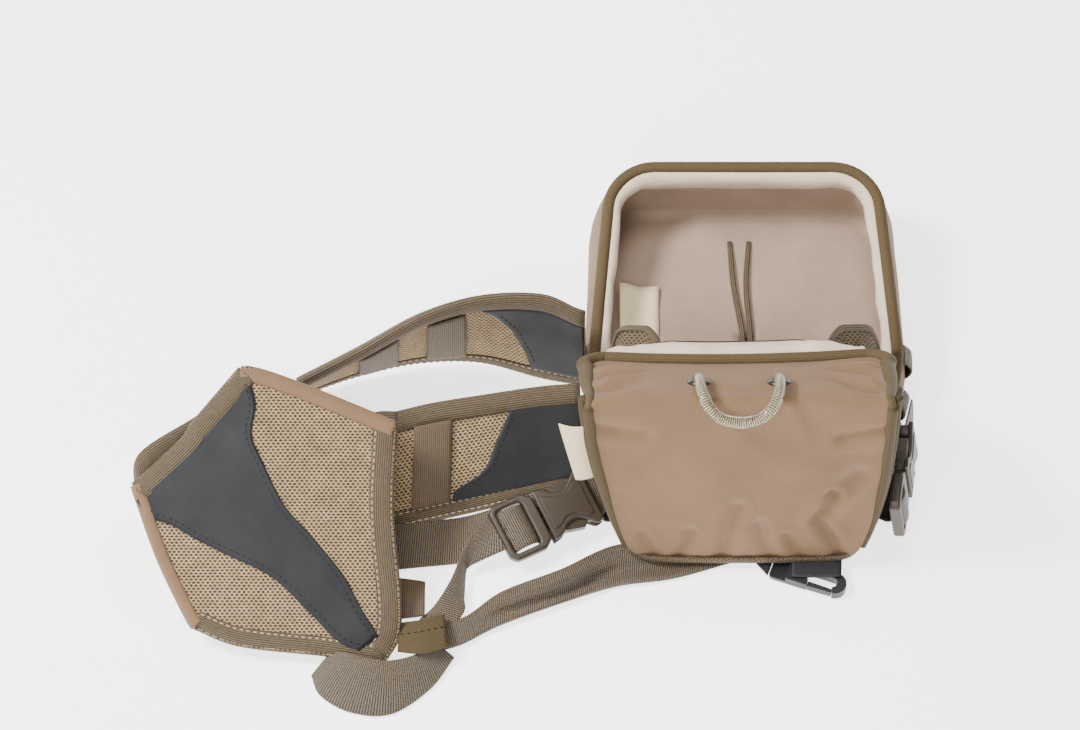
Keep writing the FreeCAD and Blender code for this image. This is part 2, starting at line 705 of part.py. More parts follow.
def write():
    os.makedirs("parts", exist_ok=True)
    for obj in PARTS:
        obj.Shape.exportStep(f"parts/{obj.Label}.step")


build_tray()
build_back()
build_wings()
build_side_loops()
build_front()
build_lid()
build_gussets()
build_straps()
build_yoke()
build_webbings()
for SIDE in ("left", "right"):
    build_buckle(SIDE)
build_stubs()
build_hook()
check()
write()
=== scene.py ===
"""The looks of the binocular harness pack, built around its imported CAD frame. Blender metres.

Places and sizes below are in millimetres, as in the CAD model, and become metres in at().
X is across the pack, Y towards its top and Z up, away from the wearer's chest.
"""
import math

import bmesh
import bpy
from mathutils import Matrix, Vector, noise


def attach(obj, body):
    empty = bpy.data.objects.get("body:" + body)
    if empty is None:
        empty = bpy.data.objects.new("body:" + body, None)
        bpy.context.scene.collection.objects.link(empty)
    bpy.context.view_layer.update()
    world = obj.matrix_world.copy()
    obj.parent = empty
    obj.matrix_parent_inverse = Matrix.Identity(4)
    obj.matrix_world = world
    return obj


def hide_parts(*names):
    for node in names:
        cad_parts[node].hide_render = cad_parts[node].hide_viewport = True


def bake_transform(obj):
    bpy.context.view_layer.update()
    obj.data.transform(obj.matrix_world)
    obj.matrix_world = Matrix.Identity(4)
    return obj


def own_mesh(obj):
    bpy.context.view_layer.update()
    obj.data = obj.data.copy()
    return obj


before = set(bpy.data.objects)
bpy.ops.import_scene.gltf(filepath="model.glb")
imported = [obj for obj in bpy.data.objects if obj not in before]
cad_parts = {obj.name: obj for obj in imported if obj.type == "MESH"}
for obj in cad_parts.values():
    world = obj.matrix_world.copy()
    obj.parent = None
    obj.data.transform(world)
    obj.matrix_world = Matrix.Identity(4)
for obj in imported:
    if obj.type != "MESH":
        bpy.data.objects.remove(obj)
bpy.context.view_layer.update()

MM = 0.001

# the tray
FLOOR_Z = 8.5
LOFT = 62
RIM_TURN = math.radians(14.18)
RIM_OFFSET = 4.8
WALL = 5
# the clamshell front and the lid
HINGE_Y, HINGE_Z = -90, 8
FRONT_TURN = math.radians(84.18)
FOLD_ALONG, FOLD_DEPTH = 113.3, 32.7
LID_SLOPE = math.radians(38.2)
LID_LENGTH, LID_HALF, LID_CORNER = 77.6, 80, 16
FOLD_HALF = 76.5
FRONT_BACK, FRONT_FACE = 6, 40
FRONT_STEPS = 120
GROMMET_X, GROMMET_ALONG = 20.5, 24
# the harness
STRAP = 5
TAPE = 9
WEBBING = 1.6
PANEL_TILT = math.radians(31.8)
PANEL_LOW = (-190, 6.1)
PANEL_FACE = Vector((0, -math.sin(PANEL_TILT), math.cos(PANEL_TILT)))


# ---------------------------------------------------------------- points and curves

def at(x, y, z):
    return Vector((x, y, z)) * MM


def mix(a, b, share):
    return a + (b - a) * share


def smooth(value, low=0.0, high=1.0):
    """Smoothstep of value between low and high."""
    share = min(max((value - low) / (high - low), 0.0), 1.0)
    return share * share * (3 - 2 * share)


def hump(value, centre, width):
    return math.exp(-((value - centre) / width) ** 2)


def spline(points, place):
    """A Catmull-Rom curve through points; place runs from 0 to len(points) - 1."""
    last = len(points) - 1
    i = min(max(int(place), 0), last - 1)
    t = place - i
    p1, p2 = points[i], points[i + 1]
    p0 = points[i - 1] if i > 0 else p1 * 2 - p2
    p3 = points[i + 2] if i + 2 <= last else p2 * 2 - p1
    return 0.5 * (p1 * 2 + (p2 - p0) * t + (p0 * 2 - p1 * 5 + p2 * 4 - p3) * t * t
                  + (p1 * 3 - p0 - p2 * 3 + p3) * t * t * t)


def running_lengths(points):
    """The length run at each point of a line."""
    lengths = [0.0]
    for a, b in zip(points, points[1:]):
        lengths.append(lengths[-1] + (b - a).length)
    return lengths


def along(points, count):
    """count + 1 points evenly spaced by length on the smooth curve through points."""
    points = [Vector(p) for p in points]
    fine = [spline(points, (len(points) - 1) * i / (count * 6)) for i in range(count * 6 + 1)]
    lengths = running_lengths(fine)
    result = []
    k = 0
    for i in range(count + 1):
        target = lengths[-1] * i / count
        while k < len(fine) - 2 and lengths[k + 1] < target:
            k += 1
        step = lengths[k + 1] - lengths[k]
        share = (target - lengths[k]) / step if step > 1e-12 else 0.0
        result.append(fine[k].lerp(fine[k + 1], min(max(share, 0.0), 1.0)))
    return result


def along_flat(points, count):
    """As along, for a line of (x, y) pairs; the points' z is 0."""
    return along([(x, y, 0) for x, y in points], count)


def right_of(line, i):
    """The unit vector to the right of a flat line at its point i."""
    step = line[min(i + 1, len(line) - 1)] - line[max(i - 1, 0)]
    return Vector((step.y, -step.x, 0)).normalized()


def table(pairs, value):
    """Straight interpolation in a short list of (value, result) pairs."""
    for (v0, r0), (v1, r1) in zip(pairs, pairs[1:]):
        if value <= v1:
            return mix(r0, r1, min(max((value - v0) / (v1 - v0), 0.0), 1.0))
    return pairs[-1][1]


def ripple(p, size, seed=0.0):
    """Smooth noise between about -1 and 1; p in mm, size is the ripple's length in mm."""
    return noise.noise(Vector((p[0] / size + seed, p[1] / size - seed, p[2] / size + 2 * seed)))


# ---------------------------------------------------------------- meshes

def new_object(name, verts, faces, material, uvs):
    mesh = bpy.data.meshes.new(name)
    mesh.from_pydata([tuple(v) for v in verts], [], faces)
    mesh.polygons.foreach_set("use_smooth", [True] * len(mesh.polygons))
    layer = mesh.uv_layers.new(name="weave")
    for loop in mesh.loops:
        layer.data[loop.index].uv = uvs[loop.vertex_index]
    obj = bpy.data.objects.new(name, mesh)
    bpy.context.scene.collection.objects.link(obj)
    obj.data.materials.append(material)
    return obj


def fix_normals(obj):
    work = bmesh.new()
    work.from_mesh(obj.data)
    bmesh.ops.recalc_face_normals(work, faces=work.faces)
    work.to_mesh(obj.data)
    work.free()
    return obj


def bake(obj):
    """Applies the object's modifiers to its mesh."""
    graph = bpy.context.evaluated_depsgraph_get()
    mesh = bpy.data.meshes.new_from_object(obj.evaluated_get(graph))
    obj.modifiers.clear()
    obj.data = mesh
    return obj


def thicken(obj, thickness, offset=0.0):
    """Gives a sheet a thickness in mm; offset -1 grows inwards, 1 outwards."""
    modifier = obj.modifiers.new("Solidify", "SOLIDIFY")
    modifier.thickness = thickness * MM
    modifier.offset = offset
    return bake(obj)


def quads(height, width, wrap):
    """The faces between height rows of width points; wrap closes each row on itself."""
    faces = []
    for r in range(height - 1):
        for c in range(width if wrap else width - 1):
            d = (c + 1) % width
            faces.append((r * width + c, r * width + d, (r + 1) * width + d, (r + 1) * width + c))
    return faces


def tube_faces(height, width):
    """The faces of a tube through height rings of width points, capped at both ends."""
    return quads(height, width, True) + [tuple(reversed(range(width))),
                                         tuple(range((height - 1) * width, height * width))]


def grid(name, rows, material, wrap=False):
    """A quad sheet from rows of points, with a metric weave layer in mm.

    wrap closes each row on itself. The weave's first coordinate runs down the rows.
    """
    height, width = len(rows), len(rows[0])
    down = running_lengths([row[width // 2] for row in rows])
    across = running_lengths(rows[height // 2])
    verts = [p for row in rows for p in row]
    uvs = [(down[r] / MM, across[c] / MM) for r in range(height) for c in range(width)]
    return new_object(name, verts, quads(height, width, wrap), material, uvs)


def ring_solid(name, rings, material, across=None):
    """A closed solid through rings of points; across is the weave's v in mm round a ring."""
    count = len(rings[0])
    verts = [p for ring in rings for p in ring]
    run = running_lengths([sum(ring, Vector()) / count for ring in rings])
    if across is None:
        across = [length / MM for length in running_lengths(rings[0])]
    uvs = [(run[r] / MM, across[c]) for r in range(len(rings)) for c in range(count)]
    faces = tube_faces(len(rings), count)
    return fix_normals(new_object(name, verts, faces, material, uvs))


def sweep(name, path, material, radius, flatness, up, sides):
    """A round or oval bar along a path of points in metres.

    radius is in mm, or a function of the share along the path; flatness scales the bar along up.
    """
    rings = []
    count = len(path)
    side = None
    for i, p in enumerate(path):
        tangent = (path[min(i + 1, count - 1)] - path[max(i - 1, 0)]).normalized()
        if up is not None:
            side = tangent.cross(up).normalized()
        elif side is None:
            side = tangent.orthogonal().normalized()
        else:
            side = (side - tangent * side.dot(tangent)).normalized()
        lift = side.cross(tangent).normalized()
        size = radius(i / (count - 1)) if callable(radius) else radius
        rings.append([p + (side * math.cos(a) + lift * math.sin(a) * flatness) * size * MM
                      for a in [2 * math.pi * k / sides for k in range(sides)]])
    return ring_solid(name, rings, material)


def join(name, objects):
    """One object from several, with all their materials; the first one's lead."""
    work = bpy.data.meshes.new(name)
    combined = bmesh.new()
    materials = []
    for obj in objects:
        for material in obj.data.materials:
            if material not in materials:
                materials.append(material)
    for obj in objects:
        start = len(combined.faces)
        combined.from_mesh(obj.data)
        combined.faces.ensure_lookup_table()
        for face in combined.faces[start:]:
            face.material_index = materials.index(obj.data.materials[face.material_index])
    combined.to_mesh(work)
    combined.free()
    for material in materials:
        work.materials.append(material)
    for obj in objects:
        bpy.data.objects.remove(obj)
    result = bpy.data.objects.new(name, work)
    bpy.context.scene.collection.objects.link(result)
    return result


def stitches(name, path, normals, material, length=2.3, gap=1.3, radius=0.34, sink=0.1):
    """A row of thread dashes along a path of points in metres, each a low bead on the surface."""
    verts, faces, uvs = [], [], []
    lengths = running_lengths(path)

    def place(distance):
        for i in range(len(path) - 1):
            if lengths[i + 1] >= distance:
                share = (distance - lengths[i]) / max(lengths[i + 1] - lengths[i], 1e-9)
                return path[i].lerp(path[i + 1], share), normals[i].lerp(normals[i + 1], share)
        return path[-1], normals[-1]

    step = (length + gap) * MM
    for k in range(int(lengths[-1] / step)):
        first, normal = place(k * step + gap * MM / 2)
        second, _ = place(k * step + gap * MM / 2 + length * MM)
        tangent = (second - first).normalized()
        side = tangent.cross(normal).normalized()
        up = side.cross(tangent).normalized()
        base = len(verts)
        for share, size in ((0.0, 0.35), (0.18, 0.85), (0.5, 1.0), (0.82, 0.85), (1.0, 0.35)):
            centre = first.lerp(second, share) + up * (size - 1 - sink) * radius * MM
            for m in range(6):
                angle = math.pi * m / 3
                offset = side * math.cos(angle) + up * math.sin(angle)
                verts.append(centre + offset * radius * size * MM)
                uvs.append((share, m / 6))
        faces.extend(tuple(base + i for i in face) for face in tube_faces(5, 6))
    return new_object(name, verts, faces, material, uvs)


def edge_tape(name, edge, inward, normals, material, half, width=TAPE):
    """A binding tape folded over an edge: edge points, unit vectors inwards, unit normals.

    half is half the bound piece's thickness and width the tape's width on each face, in mm.
    """
    profile = [(width, half + 0.15), (width - 0.3, half + 0.75), (width * 0.6, half + 0.9),
               (width * 0.25, half + 0.85), (0.4, half * 0.8 + 0.3), (-0.7, half * 0.45),
               (-1.0, 0), (-0.7, -half * 0.45), (0.4, -half * 0.8 - 0.3),
               (width * 0.3, -half - 0.85), (width * 0.7, -half - 0.9), (width, -half - 0.3)]
    rows = [[p + (d * a + n * b) * MM for a, b in profile]
            for p, d, n in zip(edge, inward, normals)]
    return fix_normals(thicken(grid(name, rows, material), 0.55, -1))


class Band:
    """A strap's middle surface, smooth through stations of (low edge, high edge) in mm."""

    def __init__(self, stations, dent=None):
        self.lows = [Vector(low) for low, high in stations]
        self.highs = [Vector(high) for low, high in stations]
        self.last = len(stations) - 1
        self.dent = dent

    def edges(self, s):
        return spline(self.lows, s), spline(self.highs, s)

    def width(self, s):
        low, high = self.edges(s)
        return (high - low).length

    def normal(self, s):
        a, b = s - 0.05, s + 0.05
        low_a, high_a = self.edges(a)
        low_b, high_b = self.edges(b)
        low, high = self.edges(s)
        return ((low_b + high_b) - (low_a + high_a)).cross(high - low).normalized()

    def point(self, s, t, h=0.0):
        """The point at station s, share t across and height h mm above the middle, in metres."""
        low, high = self.edges(s)
        if self.dent is not None:
            h += self.dent(s, t)
        return (low.lerp(high, t) + self.normal(s) * h) * MM

    def places(self, start, end, step):
        """Station values from start to end, about step mm apart."""
        values = [mix(start, end, i / 60) for i in range(61)]
        run = sum((self.point(b, 0.5) - self.point(a, 0.5)).length
                  for a, b in zip(values, values[1:])) / MM
        steps = max(int(run / step), 3)
        return [mix(start, end, i / steps) for i in range(steps + 1)]

    def solid(self, name, material, thickness, start=0.0, end=None, t0=0.0, t1=1.0,
              across=12, power=0.5, step=4.0):
        """A soft-edged solid of the band between two stations and two shares of its width."""
        end = self.last if end is None else end
        section = []
        for k in range(2 * across):
            c, d = math.cos(math.pi * k / across), math.sin(math.pi * k / across)
            section.append((0.5 + 0.5 * math.copysign(abs(c) ** 0.75, c),
                            thickness / 2 * math.copysign(abs(d) ** power, d)))
        rings = [[self.point(s, mix(t0, t1, t), h) for t, h in section]
                 for s in self.places(start, end, step)]
        width = self.width(self.last / 2) * (t1 - t0)
        return ring_solid(name, rings, material, [width * t for t, h in section])

    def rim(self, high, start=0.0, end=None, step=4.0):
        """Edge points in metres, unit vectors inwards and unit normals along one edge."""
        end = self.last if end is None else end
        edge, inward, normals = [], [], []
        for s in self.places(start, end, step):
            low_p, high_p = self.edges(s)
            into = (low_p - high_p) if high else (high_p - low_p)
            edge.append((high_p if high else low_p) * MM)
            inward.append(into.normalized())
            normals.append(self.normal(s))
        return edge, inward, normals

    def tape(self, name, material, half, high, start=0.0, end=None):
        return edge_tape(name, *self.rim(high, start, end), material, half)

    def stitch_line(self, name, material, half, high, side, inset, start=0.0, end=None):
        """Dashes on one face, inset mm from an edge; side is 1 or -1 along the normal."""
        edge, inward, normals = self.rim(high, start, end, 3.0)
        path = [p + (d * inset + n * side * half) * MM for p, d, n in zip(edge, inward, normals)]
        return stitches(name, path, [n * side for n in normals], material)


def coons(name, bottom, top, left, right, columns, rows, material, place):
    """A sheet filled between four boundary curves in a plane; place turns (a, b) into a point.

    bottom and top run left to right, left and right run bottom to top, all as lists of (a, b).
    """
    low, high = along_flat(bottom, columns), along_flat(top, columns)
    near, far = along_flat(left, rows), along_flat(right, rows)
    lines = []
    for r in range(rows + 1):
        v = r / rows
        line = []
        for c in range(columns + 1):
            u = c / columns
            ruled = low[c] * (1 - v) + high[c] * v + near[r] * (1 - u) + far[r] * u
            corner = (low[0] * (1 - u) * (1 - v) + low[-1] * u * (1 - v)
                      + high[0] * (1 - u) * v + high[-1] * u * v)
            line.append(ruled - corner)
        lines.append(line)
    obj = grid(name, [[place(p.x, p.y) for p in line] for line in lines], material)
    layer = obj.data.uv_layers["weave"]
    flat = [p for line in lines for p in line]
    for loop in obj.data.loops:
        layer.data[loop.index].uv = (flat[loop.vertex_index].x, flat[loop.vertex_index].y)
    return obj


# ---------------------------------------------------------------- materials

class Shade:
    """A material's node tree with short calls for the nodes that the weaves need."""

    def __init__(self, name, roughness=0.8, **sockets):
        self.material = bpy.data.materials.new(name)
        self.material.use_nodes = True
        self.nodes = self.material.node_tree.nodes
        self.links = self.material.node_tree.links
        self.shader = self.nodes["Principled BSDF"]
        self.shader.inputs["Roughness"].default_value = roughness
        for socket, value in sockets.items():
            self.shader.inputs[socket.replace("_", " ")].default_value = value

    def link(self, value, socket):
        if isinstance(value, (int, float, tuple)):
            socket.default_value = value
        else:
            self.links.new(value, socket)

    def math(self, operation, a, b=0.0, c=0.0):
        node = self.nodes.new("ShaderNodeMath")
        node.operation = operation
        for value, socket in zip((a, b, c), node.inputs):
            self.link(value, socket)
        return node.outputs[0]

    def weighted(self, a, share_a, b, share_b):
        """a and b added up, each times its share."""
        return self.math("ADD", self.math("MULTIPLY", a, share_a),
                         self.math("MULTIPLY", b, share_b))

    def centred(self, value, strength):
        """A value between 0 and 1, moved to lie about 0 and scaled."""
        return self.math("MULTIPLY", self.math("SUBTRACT", value, 0.5), strength)

    def stagger(self, row, amount):
        """0 on even rows and amount on odd ones."""
        return self.math("MULTIPLY", self.math("MODULO", self.math("FLOOR", row), 2.0), amount)

    def weave(self):
        """The metric weave layer's two coordinates, in mm."""
        node = self.nodes.new("ShaderNodeUVMap")
        node.uv_map = "weave"
        split = self.nodes.new("ShaderNodeSeparateXYZ")
        self.links.new(node.outputs["UV"], split.inputs[0])
        return split.outputs["X"], split.outputs["Y"]

    def space(self):
        """Object coordinates, in mm."""
        node = self.nodes.new("ShaderNodeTexCoord")
        sized = self.nodes.new("ShaderNodeVectorMath")
        sized.operation = "SCALE"
        self.links.new(node.outputs["Object"], sized.inputs[0])
        sized.inputs["Scale"].default_value = 1 / MM
        return sized.outputs[0]

    def noise(self, size, detail=3.0, rough=0.55):
        """Noise whose features are about size mm."""
        node = self.nodes.new("ShaderNodeTexNoise")
        self.links.new(self.space(), node.inputs["Vector"])
        node.inputs["Scale"].default_value = 1.0 / size
        node.inputs["Detail"].default_value = detail
        node.inputs["Roughness"].default_value = rough
        return node.outputs["Fac"]

    def wave(self, coordinate, pitch, phase=0.0):
        """A sine between 0 and 1 along a coordinate in mm."""
        turned = self.math("MULTIPLY_ADD", coordinate, 2 * math.pi / pitch, phase)
        return self.math("MULTIPLY_ADD", self.math("SINE", turned), 0.5, 0.5)

    def ramp(self, value, stops):
        """A colour ramp: stops of (place, colour as sRGB 0 to 255)."""
        node = self.nodes.new("ShaderNodeValToRGB")
        elements = node.color_ramp.elements
        while len(elements) < len(stops):
            elements.new(0.5)
        for element, (place, colour) in zip(elements, stops):
            element.position = place
            element.color = linear(colour)
        self.link(value, node.inputs[0])
        return node.outputs["Color"]

    def blend(self, share, a, b):
        """Colour a turning into b; each is an sRGB colour or a node's output."""
        node = self.nodes.new("ShaderNodeMix")
        node.data_type = "RGBA"
        self.link(share, node.inputs[0])
        for value, socket in ((a, node.inputs[6]), (b, node.inputs[7])):
            self.link(linear(value) if isinstance(value, tuple) else value, socket)
        return node.outputs[2]

    def tint(self, share, strength, base, colour):
        """base turned towards a colour by a share times a strength."""
        return self.blend(self.math("MULTIPLY", share, strength), base, colour)

    def bump(self, height, depth, normal=None):
        """Bump from a height between 0 and 1; depth in mm."""
        node = self.nodes.new("ShaderNodeBump")
        node.inputs["Distance"].default_value = depth * MM
        node.inputs["Strength"].default_value = 1.0
        self.links.new(height, node.inputs["Height"])
        if normal is not None:
            self.links.new(normal, node.inputs["Normal"])
        return node.outputs["Normal"]

    def finish(self, colour, normal=None, roughness=None):
        self.link(colour, self.shader.inputs["Base Color"])
        if normal is not None:
            self.links.new(normal, self.shader.inputs["Normal"])
        if roughness is not None:
            self.links.new(roughness, self.shader.inputs["Roughness"])
        return self.material


def linear(colour):
    """Linear RGBA from an sRGB colour in 0 to 255."""
    values = []
    for c in colour[:3]:
        c = c / 255
        values.append(c / 12.92 if c <= 0.04045 else ((c + 0.055) / 1.055) ** 2.4)
    return (*values, 1.0)


def shade_of(colour, factor):
    return tuple(min(c * factor, 255) for c in colour)


def woven_cloth(name, colour, pitch=0.5, depth=0.05, sheen=0.25, mottle=0.05):
    """A fine plain weave with a melange and faint large-scale variation."""
    s = Shade(name, 0.82, Sheen_Weight=sheen, Sheen_Roughness=0.5, Specular_IOR_Level=0.25)
    u, v = s.weave()
    warp = s.wave(u, pitch)
    weft = s.wave(v, pitch, 0.8)
    threads = s.math("MULTIPLY", warp, weft)
    speck = s.noise(0.5, 2.0)
    cloud = s.noise(26.0, 3.0)
    tone = s.weighted(speck, 0.55, cloud, 0.45)
    low, high = shade_of(colour, 1 - 2.4 * mottle), shade_of(colour, 1 + 2.4 * mottle)
    base = s.ramp(tone, [(0.3, low), (0.7, high)])
    base = s.tint(threads, 0.16, base, shade_of(colour, 0.62))
    fine = s.bump(threads, depth)
    soft = s.bump(s.noise(7.0, 3.0), 0.22, fine)
    return s.finish(base, soft)


def spacer_mesh(name, yarn, hole_shade, pitch_u, pitch_v, size):
    """Open 3D mesh: staggered rows of lens-shaped holes between light knitted yarns.

    The holes are coloured dark as painted shade, standing for the shade inside the open mesh.
    The pitches are in mm; size is each opening's reach as a share of its pitch.
    """
    s = Shade(name, 0.85, Sheen_Weight=0.05, Specular_IOR_Level=0.25)
    u, v = s.weave()
    row = s.math("DIVIDE", v, pitch_v)
    shift = s.stagger(row, 0.5)
    column = s.math("ADD", s.math("DIVIDE", u, pitch_u), shift)
    x = s.math("ABSOLUTE", s.math("SUBTRACT", s.math("FRACT", column), 0.5))
    y = s.math("ABSOLUTE", s.math("SUBTRACT", s.math("FRACT", row), 0.5))
    reach = s.weighted(x, 1.15, y, 0.95)
    wobble = s.centred(s.noise(1.4, 3.0), 0.34)
    wobble = s.math("ADD", wobble, s.centred(s.noise(7.0, 2.0), 0.22))
    edge = s.math("ADD", reach, wobble)
    cover = s.ramp(edge, [(size - 0.09, (0, 0, 0)), (size + 0.1, (255, 255, 255))])
    strands = s.wave(s.math("ADD", u, s.math("MULTIPLY", v, 0.8)), 0.52)
    tint = s.tint(strands, 0.45, yarn, shade_of(yarn, 0.72))
    tint = s.tint(s.noise(12.0, 2.0), 0.3, tint, shade_of(yarn, 1.12))
    # painted shade: the holes are coloured near-black, blended with a dark yarn tone, for the shade
    # inside the open mesh
    shadow = s.blend(s.noise(2.6, 2.0), hole_shade, shade_of(yarn, 0.55))
    base = s.blend(cover, shadow, tint)
    height = s.weighted(cover, 0.8, strands, 0.2)
    return s.finish(base, s.bump(height, 0.55))


def ribbed_tape(name, light, dark, pitch=1.15, cross=0.45, depth=0.22):
    """Grosgrain: raised ribs along the tape with fine threads across them."""
    s = Shade(name, 0.72, Sheen_Weight=0.05, Specular_IOR_Level=0.35)
    u, v = s.weave()
    rib = s.wave(v, pitch)
    thread = s.wave(u, cross)
    tone = s.weighted(rib, 0.75, thread, 0.18)
    tone = s.math("ADD", tone, s.centred(s.noise(2.2, 3.0), 0.5))
    base = s.ramp(tone, [(0.15, dark), (0.85, light)])
    height = s.weighted(rib, 0.8, thread, 0.2)
    return s.finish(base, s.bump(height, depth))


def nylon_webbing(name, light, dark, pitch=1.2, grain=1.5, depth=0.3):
    """Heavy webbing: ribs across it, each broken into grains that step from rib to rib."""
    s = Shade(name, 0.6, Sheen_Weight=0.1, Specular_IOR_Level=0.4)
    u, v = s.weave()
    row = s.math("DIVIDE", u, pitch)
    ribs = s.wave(u, pitch)
    shift = s.stagger(row, grain / 2)
    grains = s.wave(s.math("ADD", v, shift), grain)
    tone = s.weighted(ribs, 0.72, grains, 0.28)
    tone = s.math("ADD", tone, s.centred(s.noise(1.1, 2.0), 0.4))
    base = s.ramp(tone, [(0.2, dark), (0.62, light), (0.95, shade_of(light, 1.15))])
    return s.finish(base, s.bump(tone, depth))


def rubber_cloth(name, colour):
    """Matt rubberised fabric with a faint pebble and dusty scuffs."""
    s = Shade(name, 0.55, Specular_IOR_Level=0.22)
    dust = s.ramp(s.noise(18.0, 5.0, 0.7), [(0.45, (0, 0, 0)), (0.8, (255, 255, 255))])
    base = s.tint(dust, 0.18, colour, shade_of(colour, 1.7))
    base = s.tint(s.noise(0.6, 2.0), 0.25, base, shade_of(colour, 0.75))
    rough = s.math("MULTIPLY_ADD", s.noise(14.0, 3.0), 0.3, 0.42)
    fine = s.bump(s.noise(0.5, 2.0), 0.05)
    return s.finish(base, s.bump(s.noise(9.0, 2.0), 0.25, fine), rough)


def moulded_plastic(name, colour, rough=0.42):
    s = Shade(name, rough, Specular_IOR_Level=0.5)
    base = s.tint(s.noise(5.0, 4.0), 0.35, colour, shade_of(colour, 1.35))
    gloss = s.math("MULTIPLY_ADD", s.noise(3.0, 4.0), 0.25, rough - 0.1)
    return s.finish(base, s.bump(s.noise(0.35, 2.0), 0.03), gloss)


def satin_roll(name, colour, dark):
    """Smooth knitted binding rolled over an edge, with a faint lengthwise grain."""
    s = Shade(name, 0.75, Sheen_Weight=0.03, Sheen_Roughness=0.4, Specular_IOR_Level=0.15)
    rib = s.wave(s.weave()[1], 0.8)
    speck = s.noise(0.7, 2.0)
    tone = s.weighted(rib, 0.3, speck, 0.7)
    base = s.ramp(tone, [(0.2, dark), (0.8, colour)])
    base = s.tint(s.noise(15.0, 2.0), 0.3, base, shade_of(colour, 0.8))
    return s.finish(base, s.bump(tone, 0.08))


def plated_metal(name, colour, rough=0.25):
    s = Shade(name, rough, Metallic=1.0)
    base = s.tint(s.noise(1.5, 3.0), 0.4, colour, shade_of(colour, 0.7))
    return s.finish(base, s.bump(s.noise(0.6, 2.0), 0.02))


def clear_vinyl(name):
    s = Shade(name, 0.04, Transmission_Weight=0.96, IOR=1.24, Specular_IOR_Level=0.6)
    base = s.tint(s.noise(4.0, 2.0), 0.4, (250, 247, 236), (240, 234, 218))
    return s.finish(base, s.bump(s.noise(2.5, 2.0), 0.03))


def coil_metal(name, colour, dark, pitch):
    """Thin wire wound round a core: bright turns with dark gaps between them."""
    s = Shade(name, 0.38, Metallic=0.75)
    turn = s.wave(s.weave()[0], pitch)
    base = s.ramp(turn, [(0.15, dark), (0.7, colour)])
    return s.finish(base, s.bump(turn, 0.35))


def twill_cloth(name, colour, light, pitch=1.3):
    """Heavy diagonal twill, for the small woven tab."""
    s = Shade(name, 0.6, Specular_IOR_Level=0.4)
    u, v = s.weave()
    line = s.wave(s.math("ADD", u, v), pitch)
    base = s.ramp(line, [(0.25, colour), (0.9, light)])
    return s.finish(base, s.bump(line, 0.15))


def floor_paint(name):
    """White seamless paper, lit a little from within so that it stays almost white."""
    s = Shade(name, 0.6, Specular_IOR_Level=0.15, Emission_Color=(1, 1, 1, 1),
              Emission_Strength=2.3)
    base = s.blend(s.noise(180.0, 3.0), (243, 243, 242), (247, 247, 246))
    return s.finish(base)


TAN = (122, 95, 70)
M = {
    "tan": woven_cloth("tan_fabric", TAN, sheen=0.06, mottle=0.035),
    "lining": woven_cloth("lining_cloth", (222, 201, 180), 0.45, 0.04, 0.1, 0.03),
    "taupe": woven_cloth("taupe_cloth", (156, 134, 116), 0.5, 0.05, 0.08, 0.04),
    "roll": satin_roll("rolled_binding", (98, 82, 56), (68, 56, 37)),
    "piping": satin_roll("side_piping", (88, 74, 51), (60, 50, 33)),
    "tape": ribbed_tape("grosgrain_tape", (106, 90, 67), (50, 41, 29)),
    "loop": ribbed_tape("grosgrain_loop", (104, 87, 66), (60, 49, 36), pitch=1.1, depth=0.15),
    # each mesh's second colour is painted shade for the inside of its holes
    "mesh": spacer_mesh("spacer_mesh", (196, 166, 124), (26, 20, 13), 2.5, 1.6, 0.54),
    "dark_mesh": spacer_mesh("dark_mesh", (116, 99, 73), (34, 28, 19), 1.7, 1.3, 0.45),
    "rubber": rubber_cloth("rubber_cloth", (35, 36, 37)),
    "webbing": nylon_webbing("nylon_webbing", (101, 87, 68), (19, 15, 11)),
    "plastic": moulded_plastic("buckle_plastic", (50, 41, 29)),
    "black": moulded_plastic("black_plastic", (24, 25, 27), 0.36),
    "black_web": ribbed_tape("black_webbing", (44, 45, 48), (14, 14, 16), 1.4, 0.6, 0.3),
    "black_tab": twill_cloth("black_tab", (20, 21, 23), (52, 53, 56)),
    "label": woven_cloth("label_cloth", (232, 210, 172), 0.4, 0.04, 0.06, 0.02),
    "thread": woven_cloth("light_thread", (186, 166, 132), 0.3, 0.02, 0.06, 0.04),
    "dark_thread": woven_cloth("dark_thread", (20, 21, 23), 0.3, 0.02, 0.05, 0.04),
    "metal": plated_metal("plated_metal", (90, 88, 84), 0.3),
    "coil": coil_metal("coil_metal", (236, 222, 190), (84, 68, 44), 1.2),
    "vinyl": clear_vinyl("clear_vinyl"),
    "floor": floor_paint("floor_paint"),
}


# ---------------------------------------------------------------- frames of the moving halves

def hinge_point(x, u, w, turn):
    """u along an edge from the bottom hinge and w outwards, at an angle above the floor."""
    return at(x, HINGE_Y + u * math.cos(turn) - w * math.sin(turn),
              HINGE_Z + u * math.sin(turn) + w * math.cos(turn))


def front_point(x, u, w):
    return hinge_point(x + lean(u), u, w, FRONT_TURN)


def lean(u):
    """The soft front leans a little to the left towards its top."""
    return -2.8 - 4.7 * smooth(u, 0, FOLD_ALONG)


FOLD = hinge_point(0, FOLD_ALONG, FOLD_DEPTH, FRONT_TURN)
LID_ALONG = Vector((0, math.cos(LID_SLOPE), -math.sin(LID_SLOPE)))
LID_OUT = Vector((0, math.sin(LID_SLOPE), math.cos(LID_SLOPE)))


def lid_point(x, a, n):
    """a along the lid from the fold and n above it; its free end droops and bows inwards."""
    middle = max(1 - (x / 76) ** 2, 0)
    n -= smooth(a, 15, LID_LENGTH) * (0.8 - 1.0 * x / 80 + 2.4 * middle)
    a -= 3.0 * smooth(a, 35, LID_LENGTH) * middle
    return FOLD + (Vector((x + lean(FOLD_ALONG), 0, 0)) + LID_ALONG * a + LID_OUT * n) * MM


